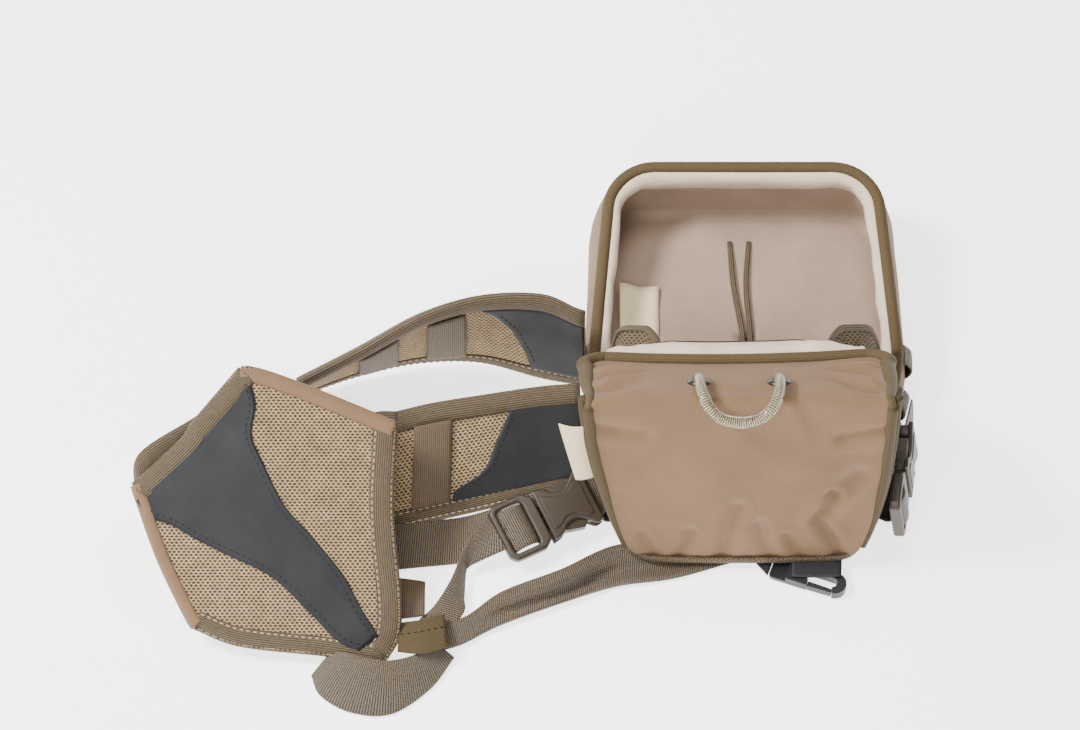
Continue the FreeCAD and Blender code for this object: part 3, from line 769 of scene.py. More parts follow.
def rounded_outline(points, radii, per_arc=10, per_run=7):
    """A closed outline with rounded corners and the same number of points for any sizes."""
    count = len(points)
    arcs = []
    for i in range(count):
        here, before, after = (Vector((*points[k % count], 0)) for k in (i, i - 1, i + 1))
        into, out = (before - here).normalized(), (after - here).normalized()
        half = into.angle(out) / 2
        centre = here + (into + out).normalized() * (radii[i] / math.sin(half))
        first = here + into * (radii[i] / math.tan(half)) - centre
        last = here + out * (radii[i] / math.tan(half)) - centre
        arcs.append([centre + first.normalized().slerp(last.normalized(), k / per_arc) * radii[i]
                     for k in range(per_arc + 1)])
    result = []
    for i, arc in enumerate(arcs):
        result.extend(arc)
        following = arcs[(i + 1) % count][0]
        result.extend(arc[-1].lerp(following, k / per_run) for k in range(1, per_run))
    return result


def tray_outline(share, inset):
    bottom, middle, top = mix(60, 58, share), mix(87, 76, share), mix(82, 70, share)
    right = [(bottom - inset, -87.2 + inset), (middle - inset, -25),
             (top - inset, mix(95, 87, share) - inset)]
    points = right + [(-x, y) for x, y in reversed(right)]
    return rounded_outline(points, [18 - inset, 70, 26 - inset, 26 - inset, 70, 18 - inset])


def rim_height(y, drop=0.0):
    """The sloping rim plane's height above the floor at a place along the tray."""
    return HINGE_Z + (y - HINGE_Y) * math.tan(RIM_TURN) + (RIM_OFFSET - drop) / math.cos(RIM_TURN)


def tray_ring(inset, drop=None, height=None):
    """Points round the tray at an inset, drop mm below the rim or at a level height."""
    low, high = tray_outline(0, inset), tray_outline(1, inset)
    ring = []
    for p, q in zip(low, high):
        if height is None:
            slope = math.tan(RIM_TURN)
            share = (rim_height(p.y, drop) - FLOOR_Z) / (LOFT - slope * (q.y - p.y))
        else:
            share = (height - FLOOR_Z) / LOFT
        flat = p.lerp(q, share)
        ring.append(Vector((flat.x, flat.y, FLOOR_Z + LOFT * share)))
    return ring


def outward(ring, i):
    """The level outward direction at point i of a ring that runs anticlockwise."""
    step = ring[(i + 1) % len(ring)] - ring[i - 1]
    return Vector((step.y, -step.x, 0)).normalized()


# ---------------------------------------------------------------- the tray

def make_tray():
    """Outer wall, puffed lining roll, taupe lining with its floor, and the rolled rim binding."""
    base, rim = tray_ring(0, height=FLOOR_Z), tray_ring(0, drop=1.5)
    rows = [[(p + outward(base, i) * -5 + Vector((0, 0, -1.6))) * MM for i, p in enumerate(base)]]
    steps = 16
    for j in range(steps + 1):
        share = j / steps
        row = []
        for i, (p, q) in enumerate(zip(base, rim)):
            spot = p.lerp(q, share)
            height = (q.z - p.z) / 50
            swell = 2.2 * math.sin(math.pi * share) * height + 0.9 * ripple(spot, 24) * height
            row.append((spot + outward(base, i) * swell) * MM)
        rows.append(row)
    shell = thicken(grid("tray_shell", rows, M["tan"], wrap=True), 1.6, -1)
    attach(fix_normals(shell), "pack")
    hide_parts("back_shell")

    profile = [(3.4, 2.6), (4.6, 1.6), (6.4, 1.5), (8.3, 2.8), (9.2, 5.2), (9.0, 8.0), (8.0, 11.5),
               (7.0, 13.0)]
    rows = []
    for k, (inset, drop) in enumerate(profile):
        ring = tray_ring(inset, drop=drop)
        body = math.sin(math.pi * k / (len(profile) - 1))
        row = []
        for i, p in enumerate(ring):
            crease = (1.5 * ripple(p, 9, 3.0) + 0.9 * ripple(p, 4, 5.0)) * body
            spot = p + outward(ring, i) * crease
            spot.z = max(spot.z + 0.5 * crease, FLOOR_Z + WALL)
            row.append(spot * MM)
        rows.append(row)
    roll = thicken(grid("rim_lining", rows, M["lining"], wrap=True), 0.8, 1)
    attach(fix_normals(roll), "pack")

    floor = FLOOR_Z + WALL
    rows = []
    for drop in (11, 16, 22, 29, 36):
        ring = tray_ring(7.2, drop=drop)
        rows.append([Vector((p.x, p.y, max(p.z, floor + 0.6))) * MM for p in ring])
    edge = tray_ring(7.6, height=floor + 0.3)
    centre = Vector((0, 0, floor))
    for k in range(14):
        share = 1 - k / 13.5
        row = []
        for p in edge:
            spot = centre.lerp(p, share)
            puff = 1.6 * (1 - share ** 2) + 0.8 * ripple(spot, 22, 1.0)
            row.append(Vector((spot.x, spot.y, floor + 0.3 + max(puff, 0))) * MM)
        rows.append(row)
    lining = thicken(grid("tray_lining", rows, M["taupe"], wrap=True), 0.8, 1)
    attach(fix_normals(lining), "pack")
    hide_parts("back_lining", "tray_magnets")

    ring = tray_ring(1.9, drop=1.7)
    path = [p * MM for p in ring if p.y > -80]
    up = Vector((0, -math.sin(RIM_TURN), math.cos(RIM_TURN)))
    binding = sweep("rim_roll", path, M["roll"], 3.3, 0.9, up, 16)
    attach(binding, "pack")
    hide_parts("rim_binding")


def make_back():
    """The padded back with sewn channels, the hinge seam, the inner loop and the care label."""
    rows = []
    profile = [(16, 7.3), (7, 7.2), (2.6, 6.2), (1.2, 3.6), (2.4, 1.1), (6, 0.3)]
    for inset, height in profile:
        ring = tray_ring(inset, height=FLOOR_Z)
        rows.append([Vector((p.x, p.y, height)) * MM for p in ring])
    edge = tray_ring(6, height=FLOOR_Z)
    for k in range(1, 16):
        share = 1 - k / 15.6
        row = []
        for p in edge:
            x, y = p.x * share, p.y * share
            channel = max(hump(abs(x) - 30, 0, 2.4), hump(y - 20, 0, 2.2) * 0.8)
            row.append(Vector((x, y, 0.25 + 1.6 * channel)) * MM)
        rows.append(row)
    pad = grid("back_padding", rows, M["mesh"], wrap=True)
    layer = pad.data.uv_layers["weave"]
    for loop in pad.data.loops:
        co = pad.data.vertices[loop.vertex_index].co
        layer.data[loop.index].uv = (co.x / MM, (co.y + co.z) / MM)
    pad = thicken(fix_normals(pad), 0.8, -1)
    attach(pad, "pack")
    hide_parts("back_pad", "stiffener_board")

    path = [at(x, HINGE_Y, HINGE_Z + 0.6 * math.sin(x / 9)) for x in range(-50, 51, 4)]
    seam = sweep("hinge_seam", path, M["roll"], 2.3, 1.0, Vector((0, 0, 1)), 12)
    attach(seam, "pack")
    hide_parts("hinge_piping")

    floor = FLOOR_Z + WALL + 2.6
    tapes = []
    for sign in (-1, 1):
        stations = [((sign * 1.8 - 1.5, -74, floor), (sign * 1.8 + 1.5, -74, floor)),
                    ((sign * 1.9 - 1.5, -40, floor + 1), (sign * 1.9 + 1.5, -40, floor + 1.4)),
                    ((sign * 2.0 - 0.5, 0, floor + 1), (sign * 2.0 + 2.5, 0, floor + 2)),
                    ((sign * 3.4 - 3.4, 36, floor + 1), (sign * 3.4 - 0.6, 36, floor + 2.2)),
                    ((sign * 5.2 - 3.0, 66, floor), (sign * 5.2 - 0.2, 66, floor))]
        tapes.append(Band(stations).solid("tape", M["tape"], 1.1, across=4))
    loop = join("inner_loop", tapes)
    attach(loop, "pack")
    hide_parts("centre_tape")

    rows = []
    for j in range(9):
        v = j / 8
        rows.append([at(mix(-67, -46, i / 6), mix(3, 35, v),
                        floor + 0.7 + 1.5 * smooth(v, 0.5, 1) * (i / 6)
                        + 5.0 * smooth(1 - i / 6, 0.4, 1))
                     for i in range(7)])
    label = thicken(grid("care_tag", rows, M["label"]), 0.35, 0)
    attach(label, "pack")
    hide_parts("care_label")


def make_side_loops():
    """Three short webbings tacked down each side wall, each standing off it in its middle."""
    for side, sign in (("left", -1), ("right", 1)):
        pieces, tacks = [], []
        for y, x, z, turn in ((-13, 84.6, 16, 0), (-40, 81.4, 15, 14), (-63, 75.0, 13.4, 14)):
            angle = math.radians(turn)
            out = Vector((sign * math.cos(angle), -math.sin(angle), 0))
            run = Vector((-sign * math.sin(angle), -math.cos(angle), 0))
            centre = Vector((sign * x, y, z))
            lows, highs = [], []
            for rise, proud in ((-8.4, 1.0), (-6.6, 1.6), (-3.5, 3.9), (0, 4.6), (3.5, 3.9),
                                (6.6, 1.8), (8.6, 0.2)):
                wall = centre + Vector((0, 0, rise)) + out * (proud - 0.1 * max(rise, 0))
                lows.append(wall - run * 6.5)
                highs.append(wall + run * 6.5)
            band = Band(list(zip(lows, highs)))
            pieces.append(band.solid("loop", M["webbing"], 1.4, across=6, step=1.6))
            for s in (0.7, 5.3):
                path = [band.point(s, t, sign * 0.8) + out * 0.2 * MM for t in (0.08, 0.5, 0.92)]
                tacks.append(stitches("tack", path, [out] * 3, M["thread"], 1.5, 0.7, 0.45))
        loops = join("side_webbing_" + side, pieces + tacks)
        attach(loops, "pack")
        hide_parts("side_loops_" + side)


# ---------------------------------------------------------------- the clamshell front and lid

# each right half as (x, u): the face's side and bottom edges, then the front's back edge likewise
FACE_EDGE = [(61, 3), (64.5, 15), (68, 32), (71.5, 54), (74.5, 78), (76, 98),
             (FOLD_HALF, FOLD_ALONG)]
FACE_BOTTOM = [(0, -7.6), (22, -7.6), (44, -6.8), (55, -3.4), (61, 3)]
INNER_EDGE = [(61.5, 8), (66.5, 19), (70, 34), (73.5, 55), (76, 78), (77.5, 98),
              (78, FOLD_ALONG)]
INNER_BOTTOM = [(0, -1), (20, -1), (40, -0.5), (53, 2), (61.5, 8)]
FACE_WRINKLES = [
    # (x, u) points of a crease's line, its depth and its width
    ([(-4, 38), (-9, 20), (-12, -2)], 1.0, 3.8),
    ([(47, 45), (38, 27), (46, 10), (50, -3)], 1.6, 3.3),
    ([(-29, 18), (-35, -4)], 0.9, 3.2),
    ([(-54, 14), (-46, -3)], 0.8, 3.0),
    ([(22, 14), (31, -5)], 0.9, 3.2),
    ([(60, 62), (44, 46)], 0.7, 4.2),
    ([(-74, 96), (-50, 90)], 0.7, 4.0),
    ([(75, 94), (52, 88)], 0.8, 3.6),
    ([(8, 24), (14, -6)], 0.6, 3.6),
]


def segment_distance(x, y, a, b):
    """The distance from (x, y) to the segment from a to b."""
    dx, dy = b[0] - a[0], b[1] - a[1]
    share = ((x - a[0]) * dx + (y - a[1]) * dy) / (dx * dx + dy * dy)
    share = min(max(share, 0.0), 1.0)
    return math.hypot(x - a[0] - dx * share, y - a[1] - dy * share)


def crease(x, u):
    """How far the front's wrinkles press in or stand out at a place, in mm."""
    total = 0.0
    for line, depth, width in FACE_WRINKLES:
        gap = min(segment_distance(x, u, a, b) for a, b in zip(line, line[1:]))
        total -= 2.2 * depth * (hump(gap, 0, width) - 0.35 * hump(gap, 2.1 * width, width))
    return total


def lid_half(a):
    """Half the lid's width at a place along it, with its far corners rounded."""
    half = mix(FOLD_HALF, LID_HALF - 1.5, min(a / 30, 1))
    inner = LID_LENGTH - LID_CORNER
    if a <= inner:
        return half
    return half - LID_CORNER + math.sqrt(max(LID_CORNER ** 2 - (a - inner) ** 2, 0))


def face_depth(u):
    """How deep the front is at a height, from the hinge's plane out to its face."""
    return mix(FRONT_FACE, FOLD_DEPTH, (u + 8) / (FOLD_ALONG + 8))


def fold_bow(x):
    """How far the fold bows towards the tray at a place across it."""
    return 4.0 * max(1 - (x / 76) ** 2, 0)


def cover_place(x, u):
    """A point of the front's outer fabric; past the fold, u runs on along the lid."""
    if u <= FOLD_ALONG:
        rise = math.sin(math.pi * min(max((u + 8) / (FOLD_ALONG + 8), 0), 1))
        crown = 3.4 * (1 - (x / 80) ** 2) * rise ** 0.7
        soft = 0.6 * ripple((x, u, 0), 30, 2.0) * rise
        creased = crease(x, u) * min(rise * 2.2 + 0.1, 1)
        p = front_point(x, u, face_depth(u) + crown + soft + creased)
        return p + Vector((0, fold_bow(x) * smooth(u, FOLD_ALONG - 45, FOLD_ALONG), 0)) * MM
    a = u - FOLD_ALONG
    share = min(a / LID_LENGTH, 1)
    crown = 3.6 * math.sin(math.pi * share) ** 0.8 * (1 - (x / 86) ** 4)
    pleat = smooth(abs(x), 38, 68) * smooth(share, 0.0, 0.25) * (1 - smooth(share, 0.75, 1.0))
    pleat *= 1 - 0.85 * smooth(abs(x), 68, 76)
    side = 1 if x > 0 else 0.75
    turns = a / 21 + abs(x) / 75 + 0.5 * ripple((x, a, 1), 30)
    fold = 3.0 * side * pleat * math.sin(2 * math.pi * turns)
    soft = 0.8 * ripple((x, a, 9), 24, 4.0) * math.sin(math.pi * share)
    p = lid_point(x, a, crown + fold + soft)
    return p + LID_ALONG * (fold_bow(x) * (1 - smooth(a, 0, 40))) * MM


def mirrored_line(right):
    """A line from its right half, listed from the middle outwards, now from left to right."""
    return [(-x, u) for x, u in reversed(right)] + right[1:]


def make_cover():
    """One sheet of tan fabric: the front's face and the lid that folds back from its top edge."""
    columns, face_rows, lid_rows = 96, 64, 34
    bottom = along_flat(mirrored_line(FACE_BOTTOM), columns)
    right = along_flat(FACE_EDGE, face_rows)
    corner_x, corner_u = FACE_EDGE[0]
    rows = []
    for r in range(face_rows + 1):
        v = r / face_rows
        half, u_side = right[r].x, right[r].y
        row = []
        for c in range(columns + 1):
            share = 2 * c / columns - 1
            base = bottom[c]
            x = mix(base.x, share * FOLD_HALF, v) + share * (half - mix(corner_x, FOLD_HALF, v))
            u = mix(base.y, FOLD_ALONG, v) + (u_side - mix(corner_u, FOLD_ALONG, v))
            row.append(cover_place(x, u))
        rows.append(row)
    for r in range(1, lid_rows + 1):
        a = (LID_LENGTH - 1.5) * r / lid_rows
        half = lid_half(a) - 1.0
        rows.append([cover_place(half * (2 * c / columns - 1), FOLD_ALONG + a)
                     for c in range(columns + 1)])
    for _ in range(7):
        before = [list(row) for row in rows]
        for r in range(face_rows - 3, face_rows + 4):
            for c in range(columns + 1):
                rows[r][c] = before[r][c] * 0.5 + (before[r - 1][c] + before[r + 1][c]) * 0.25
    cover = thicken(grid("front_cover", rows, M["tan"]), 1.4, 0)
    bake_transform(fix_normals(cover))
    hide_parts("lid_panel")


def front_path(share, count):
    """The front's side and bottom line from top left to top right; share 1 is at its face."""
    inner = INNER_BOTTOM + INNER_EDGE[1:]
    outer = FACE_BOTTOM + FACE_EDGE[1:]
    half = [(mix(a[0], b[0], share), mix(a[1], b[1], share)) for a, b in zip(inner, outer)]
    return along_flat(mirrored_line(half), count)


def wall_top(w):
    """How high the front's side walls reach at a depth, just under the lid."""
    return FOLD_ALONG - (FOLD_DEPTH - w) * 0.633 - 3.0


def depth_share(w):
    return (w - FRONT_BACK) / (FRONT_FACE - FRONT_BACK)


def front_wall_rows(inset, count, depths, swell=0.0):
    """Rows of points round the front's walls, one per depth, an inset inside their outer line."""
    rows = []
    for w in depths:
        share = depth_share(w)
        line = front_path(share, count)
        top = wall_top(mix(FRONT_BACK, FOLD_DEPTH, share))
        row = []
        for i, p in enumerate(line):
            out = right_of(line, i)
            proud = swell * math.sin(math.pi * share) + 0.7 * ripple((p.x, p.y, w), 16, 6.0)
            x, u = p.x + out.x * (proud - inset), p.y + out.y * (proud - inset)
            u = u if u < 20 else 20 + (u - 20) * (top - 20) / (FOLD_ALONG - 20)
            row.append(front_point(x, u, mix(FRONT_BACK, face_depth(u), share)))
        rows.append(row)
    return rows


def make_front_walls():
    """The front's outer walls, its lining and the rolled binding along its back edge."""
    depths = [8 + 31.6 * k / 10 for k in range(11)]
    rows = front_wall_rows(0, FRONT_STEPS, depths, 1.0)
    walls = thicken(grid("front_walls", rows, M["tan"]), 1.4, 0)
    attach(fix_normals(walls), "front")
    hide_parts("front_shell")

    inside = grid("front_walls_inside", front_wall_rows(5.0, 100, depths[:-1]), M["lining"])
    rows = []
    for r in range(30):
        v = r / 29
        u = mix(-2, FOLD_ALONG - 10, v)
        half = table([(-4, 48), (3, 53), (32, 63), (78, 70), (FOLD_ALONG, 71)], u)
        depth = face_depth(u) - 6.5 - 3 * smooth(u, 80, 103)
        rows.append([front_point(half * (2 * c / 40 - 1), u,
                                 depth + 0.8 * ripple((c, r, 0), 7, 8.0)) for c in range(41)])
    back = grid("front_back", rows, M["lining"])
    lining = thicken(join("front_inside", [inside, back]), 0.8, 0)
    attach(lining, "front")
    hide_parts("front_lining")

    edge = front_wall_rows(1.2, FRONT_STEPS, [8.6])[0]
    trim = sweep("front_inner_edge", edge, M["roll"], 1.7, 0.9, None, 10)
    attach(trim, "front")


def make_front_trim():
    """Mesh band along the bottom, double side piping, the blank side label and the black tab."""
    reach = [i for i, p in enumerate(front_path(1.0, FRONT_STEPS)) if p.y < 9]
    first, last = reach[0], reach[-1]
    rows = []
    for w, proud in ((12, 0.6), (18, 1.6), (26, 2.2), (33, 2.4), (38, 2.2), (40.8, 1.4),
                     (42.2, -0.8), (42.6, -3.4), (42.0, -4.6)):
        line = front_path(depth_share(min(w, FRONT_FACE)), FRONT_STEPS)
        row = []
        for i in range(first, last + 1):
            p, out = line[i], right_of(line, i)
            fade = smooth(min(i - first, last - i), 0, 9)
            bulge = proud * mix(0.15, 1, fade) if proud > 0 else proud * fade
            bulge += 0.25 * ripple((p.x, p.y, w), 11, 3.0) * fade
            row.append(front_point(p.x + out.x * bulge, p.y + out.y * bulge,
                                   min(w, mix(38.5, 42.6, fade))))
        rows.append(row)
    band = grid("bottom_mesh", rows, M["dark_mesh"])
    band = thicken(fix_normals(band), 1.0, 0)
    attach(band, "front")
    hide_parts("bottom_band")

    pipes = []
    for sign in (-1, 1):
        for step, drop, radius, low_u in ((1.5, -0.2, 3.0, -3), (4.2, 6.6, 2.7, 2)):
            points = [(52, -4.6)] + FACE_EDGE
            path = [front_point(sign * (x + step), u, face_depth(u) - drop)
                    for x, u in points if u >= low_u - 1]
            path[-1] = front_point(sign * (FOLD_HALF + step), FOLD_ALONG - 4, FOLD_DEPTH - drop)

            def taper(share, size=radius):
                return size * mix(0.55, 1.0, smooth(share, 0, 0.5))
            outer = Vector((0.5 * sign, -1, 0)).normalized()
            pipes.append(sweep("pipe", along(path, 60), M["piping"], taper, 0.8, outer, 12))
    piping = join("side_piping", pipes)
    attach(piping, "front")
    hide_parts("front_piping")

    rows = []
    for j in range(13):
        v = j / 12
        rows.append([front_point(mix(-78.5, -93.5, i / 8) + 6.5 * (1 - v),
                                 mix(49, 90, v) - 3.0 * i / 8,
                                 26 + 3.5 * math.sin(2.2 * i / 8 + 0.8 * v) - 1.5 * v * i / 8)
                     for i in range(9)])
    label = thicken(grid("side_tag", rows, M["label"]), 0.7, 0)
    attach(label, "front")
    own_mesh(label)
    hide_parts("side_label")

    rows = []
    for j in range(11):
        v = j / 10
        rows.append([front_point(mix(26, 52, i / 14) - 1.0 * v,
                                 -3.6 - 2.6 * smooth(v, 0, 0.4) - 0.5 * v,
                                 mix(36, 52, v) + 0.6 * math.sin(3 * i / 14))
                     for i in range(15)])
    tab = thicken(grid("black_label", rows, M["black_tab"]), 0.8, 0)
    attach(tab, "front")
    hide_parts("fabric_tab")


def make_lid_trim():
    """The lid's lining, its rolled binding and the puffed apron behind it."""
    rows = []
    for r in range(20):
        a = mix(8, LID_LENGTH - 2, r / 19)
        half = lid_half(a) - 3
        rows.append([lid_point(half * (2 * c / 40 - 1), a, -1.9 + 0.5 * ripple((c * 4, a, 2), 12))
                     for c in range(41)])
    lining = thicken(grid("lid_inside", rows, M["lining"]), 0.8, 0)
    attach(lining, "lid")
    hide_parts("lid_lining", "lid_magnets")

    def half_line(sign):
        """From the front's side over the fold's end, along the lid's side and round its corner."""
        line = [front_point(sign * 78.0, u, FOLD_DEPTH + 0.1) for u in (90, 99, 108)]
        line += [lid_point(sign * lid_half(a), a, 0.2) for a in (6, 24, 44, 60)]
        for k in range(1, 7):
            angle = math.pi / 2 * k / 7
            line.append(lid_point(sign * (LID_HALF - LID_CORNER + LID_CORNER * math.cos(angle)),
                                  LID_LENGTH - LID_CORNER + LID_CORNER * math.sin(angle), 1.2))
        return line + [lid_point(sign * 40, LID_LENGTH - 1, 1.8)]

    middle = [lid_point(0, LID_LENGTH - 1, 2.0)]
    path = along(half_line(1) + middle + half_line(-1)[::-1], 220)

    def swell(share):
        """The roll is slim down the front's sides and full along the lid."""
        return mix(2.1, 4.2, smooth(min(share, 1 - share), 0.04, 0.2))
    roll = sweep("lid_roll", path, M["roll"], swell, 0.92, None, 14)
    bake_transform(roll)
    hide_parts("lid_binding")

    profile = [(LID_LENGTH - 3, -2.5), (LID_LENGTH + 1, 2.4), (LID_LENGTH + 6, 6.2),
               (LID_LENGTH + 11, 6.8), (LID_LENGTH + 15, 3.6), (LID_LENGTH + 16, 1.0),
               (LID_LENGTH + 20, 2.8), (LID_LENGTH + 25, 3.4), (LID_LENGTH + 28, 2.6)]
    line = along_flat(profile, 30)
    rows = []
    for r, p in enumerate(line):
        half = table([(0, 73), (10, 67), (18, 54), (30, 46)], r)
        row = []
        for c in range(81):
            x = half * (2 * c / 80 - 1)
            body = math.sin(math.pi * r / 30)
            wave = 1.6 * ripple((x, 0, 0), 21, 5.0) + 1.0 * ripple((x, r, 0), 8, 2.0)
            end = smooth(abs(x), half - 14, half)
            fold = 2.2 * smooth(x, 20, 60) * math.sin(x / 5.2) * hump(r, 9, 7)
            row.append(lid_point(x, p.x + body * wave - 3 * end,
                                 p.y + body * wave * 0.8 + fold - 1.5 * end))
        rows.append(row)
    apron = thicken(grid("apron", rows, M["lining"]), 0.9, 0)
    tape = sweep("apron_tape", rows[-1], M["tape"], 1.3, 0.8, None, 8)
    apron = join("apron_cloth", [apron, tape])
    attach(apron, "lid")
    lid_point(0, LID_LENGTH - 2, 0)
    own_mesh(apron)
    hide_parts("lining_apron")


def make_pull():
    """Clear sleeve over a wound coil, out of two eyelets and down over the fold in a U."""
    half = [(20.5, 24.5, -1.5), (20.5, 24.0, 4.0), (20.6, 17, 8.0), (20.4, 7, 7.4),
            (19.1, -2.0, 5.0), (15.5, -6.6, -1.4), (9.5, -7.0, -6.6)]
    right = [lid_point(*p) for p in half]
    centre = 2 * lean(FOLD_ALONG) * MM
    left = [Vector((centre - p.x, p.y, p.z)) for p in right]
    path = along(right + [lid_point(0, -6.4, -8.6)] + left[::-1], 150)
    sleeve = sweep("pull_sleeve", path, M["vinyl"], 2.9, 1.0, None, 24)
    coil = sweep("pull_coil", path, M["coil"], 2.0, 1.0, None, 14)
    for piece, node, slot in ((sleeve, "pull_tube", "clear_vinyl"), (coil, "pull_cable", "steel")):
        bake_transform(piece)
        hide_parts(node)

    rings = []
    for sign in (-1, 1):
        at_lid = lid_point(sign * GROMMET_X, GROMMET_ALONG, 3.4)
        rows = []
        for radius, rise in ((3.4, -2.5), (3.4, 0.6), (3.9, 1.3), (4.8, 1.4), (5.8, 0.9),
                             (6.1, 0.2), (5.6, -0.4)):
            rows.append([at_lid + (Vector((1, 0, 0)) * math.cos(t) * radius
                                   + LID_ALONG * math.sin(t) * radius + LID_OUT * rise) * MM
                         for t in [2 * math.pi * k / 32 for k in range(32)]])
        rings.append(grid("eyelet", rows, M["metal"], wrap=True))
    eyelets = thicken(join("eyelets", rings), 0.5, 0)
    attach(eyelets, "lid")
    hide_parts("grommets")


# how far out a gusset's free edge lies from the hinge, from the tray's rim to the front; it passes
# under the lid and stands a little higher just behind the lid's end
GUSSET_REACH = [(0, 68), (0.12, 79), (0.22, 86), (0.38, 87), (0.47, 80), (0.56, 72), (0.85, 72),
                (1, 82)]


def make_gussets():
    """Mesh webs that fan from the tray's rim to the front's edge and sag inwards between them."""
    for side, sign in (("left", -1), ("right", 1)):
        rows = []
        for j in range(25):
            share = j / 24
            turn = mix(RIM_TURN, FRONT_TURN, share)
            reach = table(GUSSET_REACH, share)
            row = []
            for i in range(21):
                r = i / 20
                u = mix(mix(10, 8, share), reach, r)
                x = mix(table([(0, 61), (30, 70), (60, 72.5), (90, 72)], u),
                        table([(0, 58), (30, 68), (60, 75), (90, 77)], u), share)
                belly = math.sin(math.pi * share)
                sag = 26 * hump(share, 0.42, 0.3) * belly * smooth(r, 0.2, 1.0)
                wave = 5.0 * belly * r * math.sin(11 * share + 2 * r)
                row.append(hinge_point(sign * (x - sag - wave) + lean(u) * share, u, 5.0, turn))
            rows.append(row)
        web = thicken(grid("web", rows, M["dark_mesh"]), 0.8, 0)
        edge = [row[-1] for row in rows]
        trim = sweep("trim", along(edge, 60), M["tape"], 2.2, 0.6, None, 8)
        gusset = join("gusset_web_" + side, [web, trim])
        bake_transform(gusset)
        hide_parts("gusset_" + side)


# ---------------------------------------------------------------- the harness straps

UPPER_STRAP = Band([((-90, -19, 5), (-91, -14, 66)), ((-110, -16, 7), (-110, -9, 72)),
                    ((-142, -7, 9), (-142, -11, 73)), ((-175, -7, 9), (-173, -20, 69)),
                    ((-207, -14, 8), (-205, -32, 55)), ((-236, -24, 6), (-238, -48, 48))])
UPPER_LIMB = Band([((-237, -25, 6), (-239, -49, 48)), ((-257, -44, 5), (-264, -54, 56)),
                   ((-272, -92, 4), (-289, -78, 60)), ((-286, -146, 4), (-318, -99, 57)),
                   ((-293, -168, 7), (-321, -113, 45))])
LOWER_STRAP = Band([((-187, -111, 4), (-184, -65, 45)), ((-168, -106, 4), (-166, -60, 45)),
                    ((-142, -99, 4), (-140, -55, 45)), ((-110, -90, 4), (-112, -50, 45)),
                    ((-92, -87, 6), (-93, -48, 45))])
LOWER_LIMB = Band([((-258, -64, 72), (-197, -78, 60)), ((-258, -69, 42), (-198, -72, 52)),
                   ((-240, -92, 12), (-197, -67, 47)), ((-212, -106, 5), (-193, -66, 46)),
                   ((-188, -111.5, 4), (-185, -65.5, 45))])


def padded_band(name, band, node, side, start=0.0, end=None):
    """A padded mesh strap with a grosgrain tape over each edge; side is its outer face."""
    half = STRAP / 2 - 0.6
    parts = [band.solid("core", M["mesh"], STRAP - 0.6, start, end, 0.03, 0.97, across=14,
                        power=0.4, step=2.5)]
    for high in (False, True):
        parts.append(band.tape("tape", M["tape"], half, high, start, end))
        for inset in (2.0, TAPE - 1.2):
            parts.append(band.stitch_line("stitch", M["thread"], half + 0.85, high, side, inset,
                                          start, end))
    piece = join(name, parts)
    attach(piece, "pack")
    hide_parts(node)


def strap_cover(name, band, side, boundary, end, node):
    """Rubberised cloth over part of a strap's outer face, from a curved boundary to its end."""
    shares = [0.13 + 0.74 * k / 28 for k in range(29)]
    rows = []
    for t in shares:
        start = table(boundary, t)
        rows.append([band.point(mix(start, end, i / 36), t, side * (STRAP / 2 + 0.15))
                     for i in range(37)])
    sheet = thicken(grid("cover", rows, M["rubber"]), 0.8, 0)
    path = []
    for t in shares[3:-3]:
        start = table(boundary, t)
        path.append(band.point(start + math.copysign(0.11, end - start), t,
                               side * (STRAP / 2 + 0.65)))
    normals = [band.normal(1.5) * side] * len(path)
    seam = stitches("seam", path, normals, M["dark_thread"])
    cover = join(name, [sheet, seam])
    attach(cover, "pack")
    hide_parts(node)


def strap_loops(name, band, side, spans, node):
    """Ribbed loops sewn across a strap's outer face."""
    parts = []
    for start, end in spans:
        rows = []
        for i in range(13):
            s = mix(start, end, i / 12)
            edge = 1 - abs(2 * i / 12 - 1) ** 6
            rows.append([band.point(s, mix(0.14, 0.86, k / 20),
                                    side * (STRAP / 2 + 0.3 + 1.0 * edge
                                            + 0.8 * math.sin(math.pi * k / 20) ** 0.5))
                         for k in range(21)])
        loop = thicken(grid("loop", rows, M["loop"]), 0.9, 0)
        layer = loop.data.uv_layers[0]
        for corner in layer.data:
            corner.uv = (corner.uv[1], corner.uv[0])
        parts.append(loop)
    loops = join(name, parts)
    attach(loops, "pack")
    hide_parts(node)


def make_straps():
    """The two shoulder straps with their covers and loops, and the limbs that join the yoke."""
    padded_band("upper_strap", UPPER_STRAP, "strap_upper", -1, start=-0.22)
    strap_cover("upper_rubber", UPPER_STRAP, -1,
                [(0, 1.1), (0.1, 1.15), (0.3, 1.25), (0.6, 1.5), (0.8, 1.8), (0.88, 2.0),
                 (0.98, 2.35)],
                -0.21, "strap_upper_overlay")
    strap_loops("upper_loops", UPPER_STRAP, -1, ((2.25, 2.9), (3.4, 4.05)), "strap_upper_loops")
    padded_band("lower_strap", LOWER_STRAP, "strap_lower", 1, start=-0.3, end=4.2)
    strap_cover("lower_rubber", LOWER_STRAP, 1,
                [(0, 1.45), (0.22, 1.47), (0.3, 1.9), (0.38, 2.1), (0.6, 2.25), (0.98, 2.6)],
                4.19, "strap_lower_overlay")
    strap_loops("lower_loop", LOWER_STRAP, 1, ((0.45, 1.4),), "strap_lower_loop")
    padded_band("upper_limb", UPPER_LIMB, "yoke_limb_upper", 1)
    padded_band("lower_limb", LOWER_LIMB, "yoke_limb_lower", 1)


# ---------------------------------------------------------------- the yoke panel

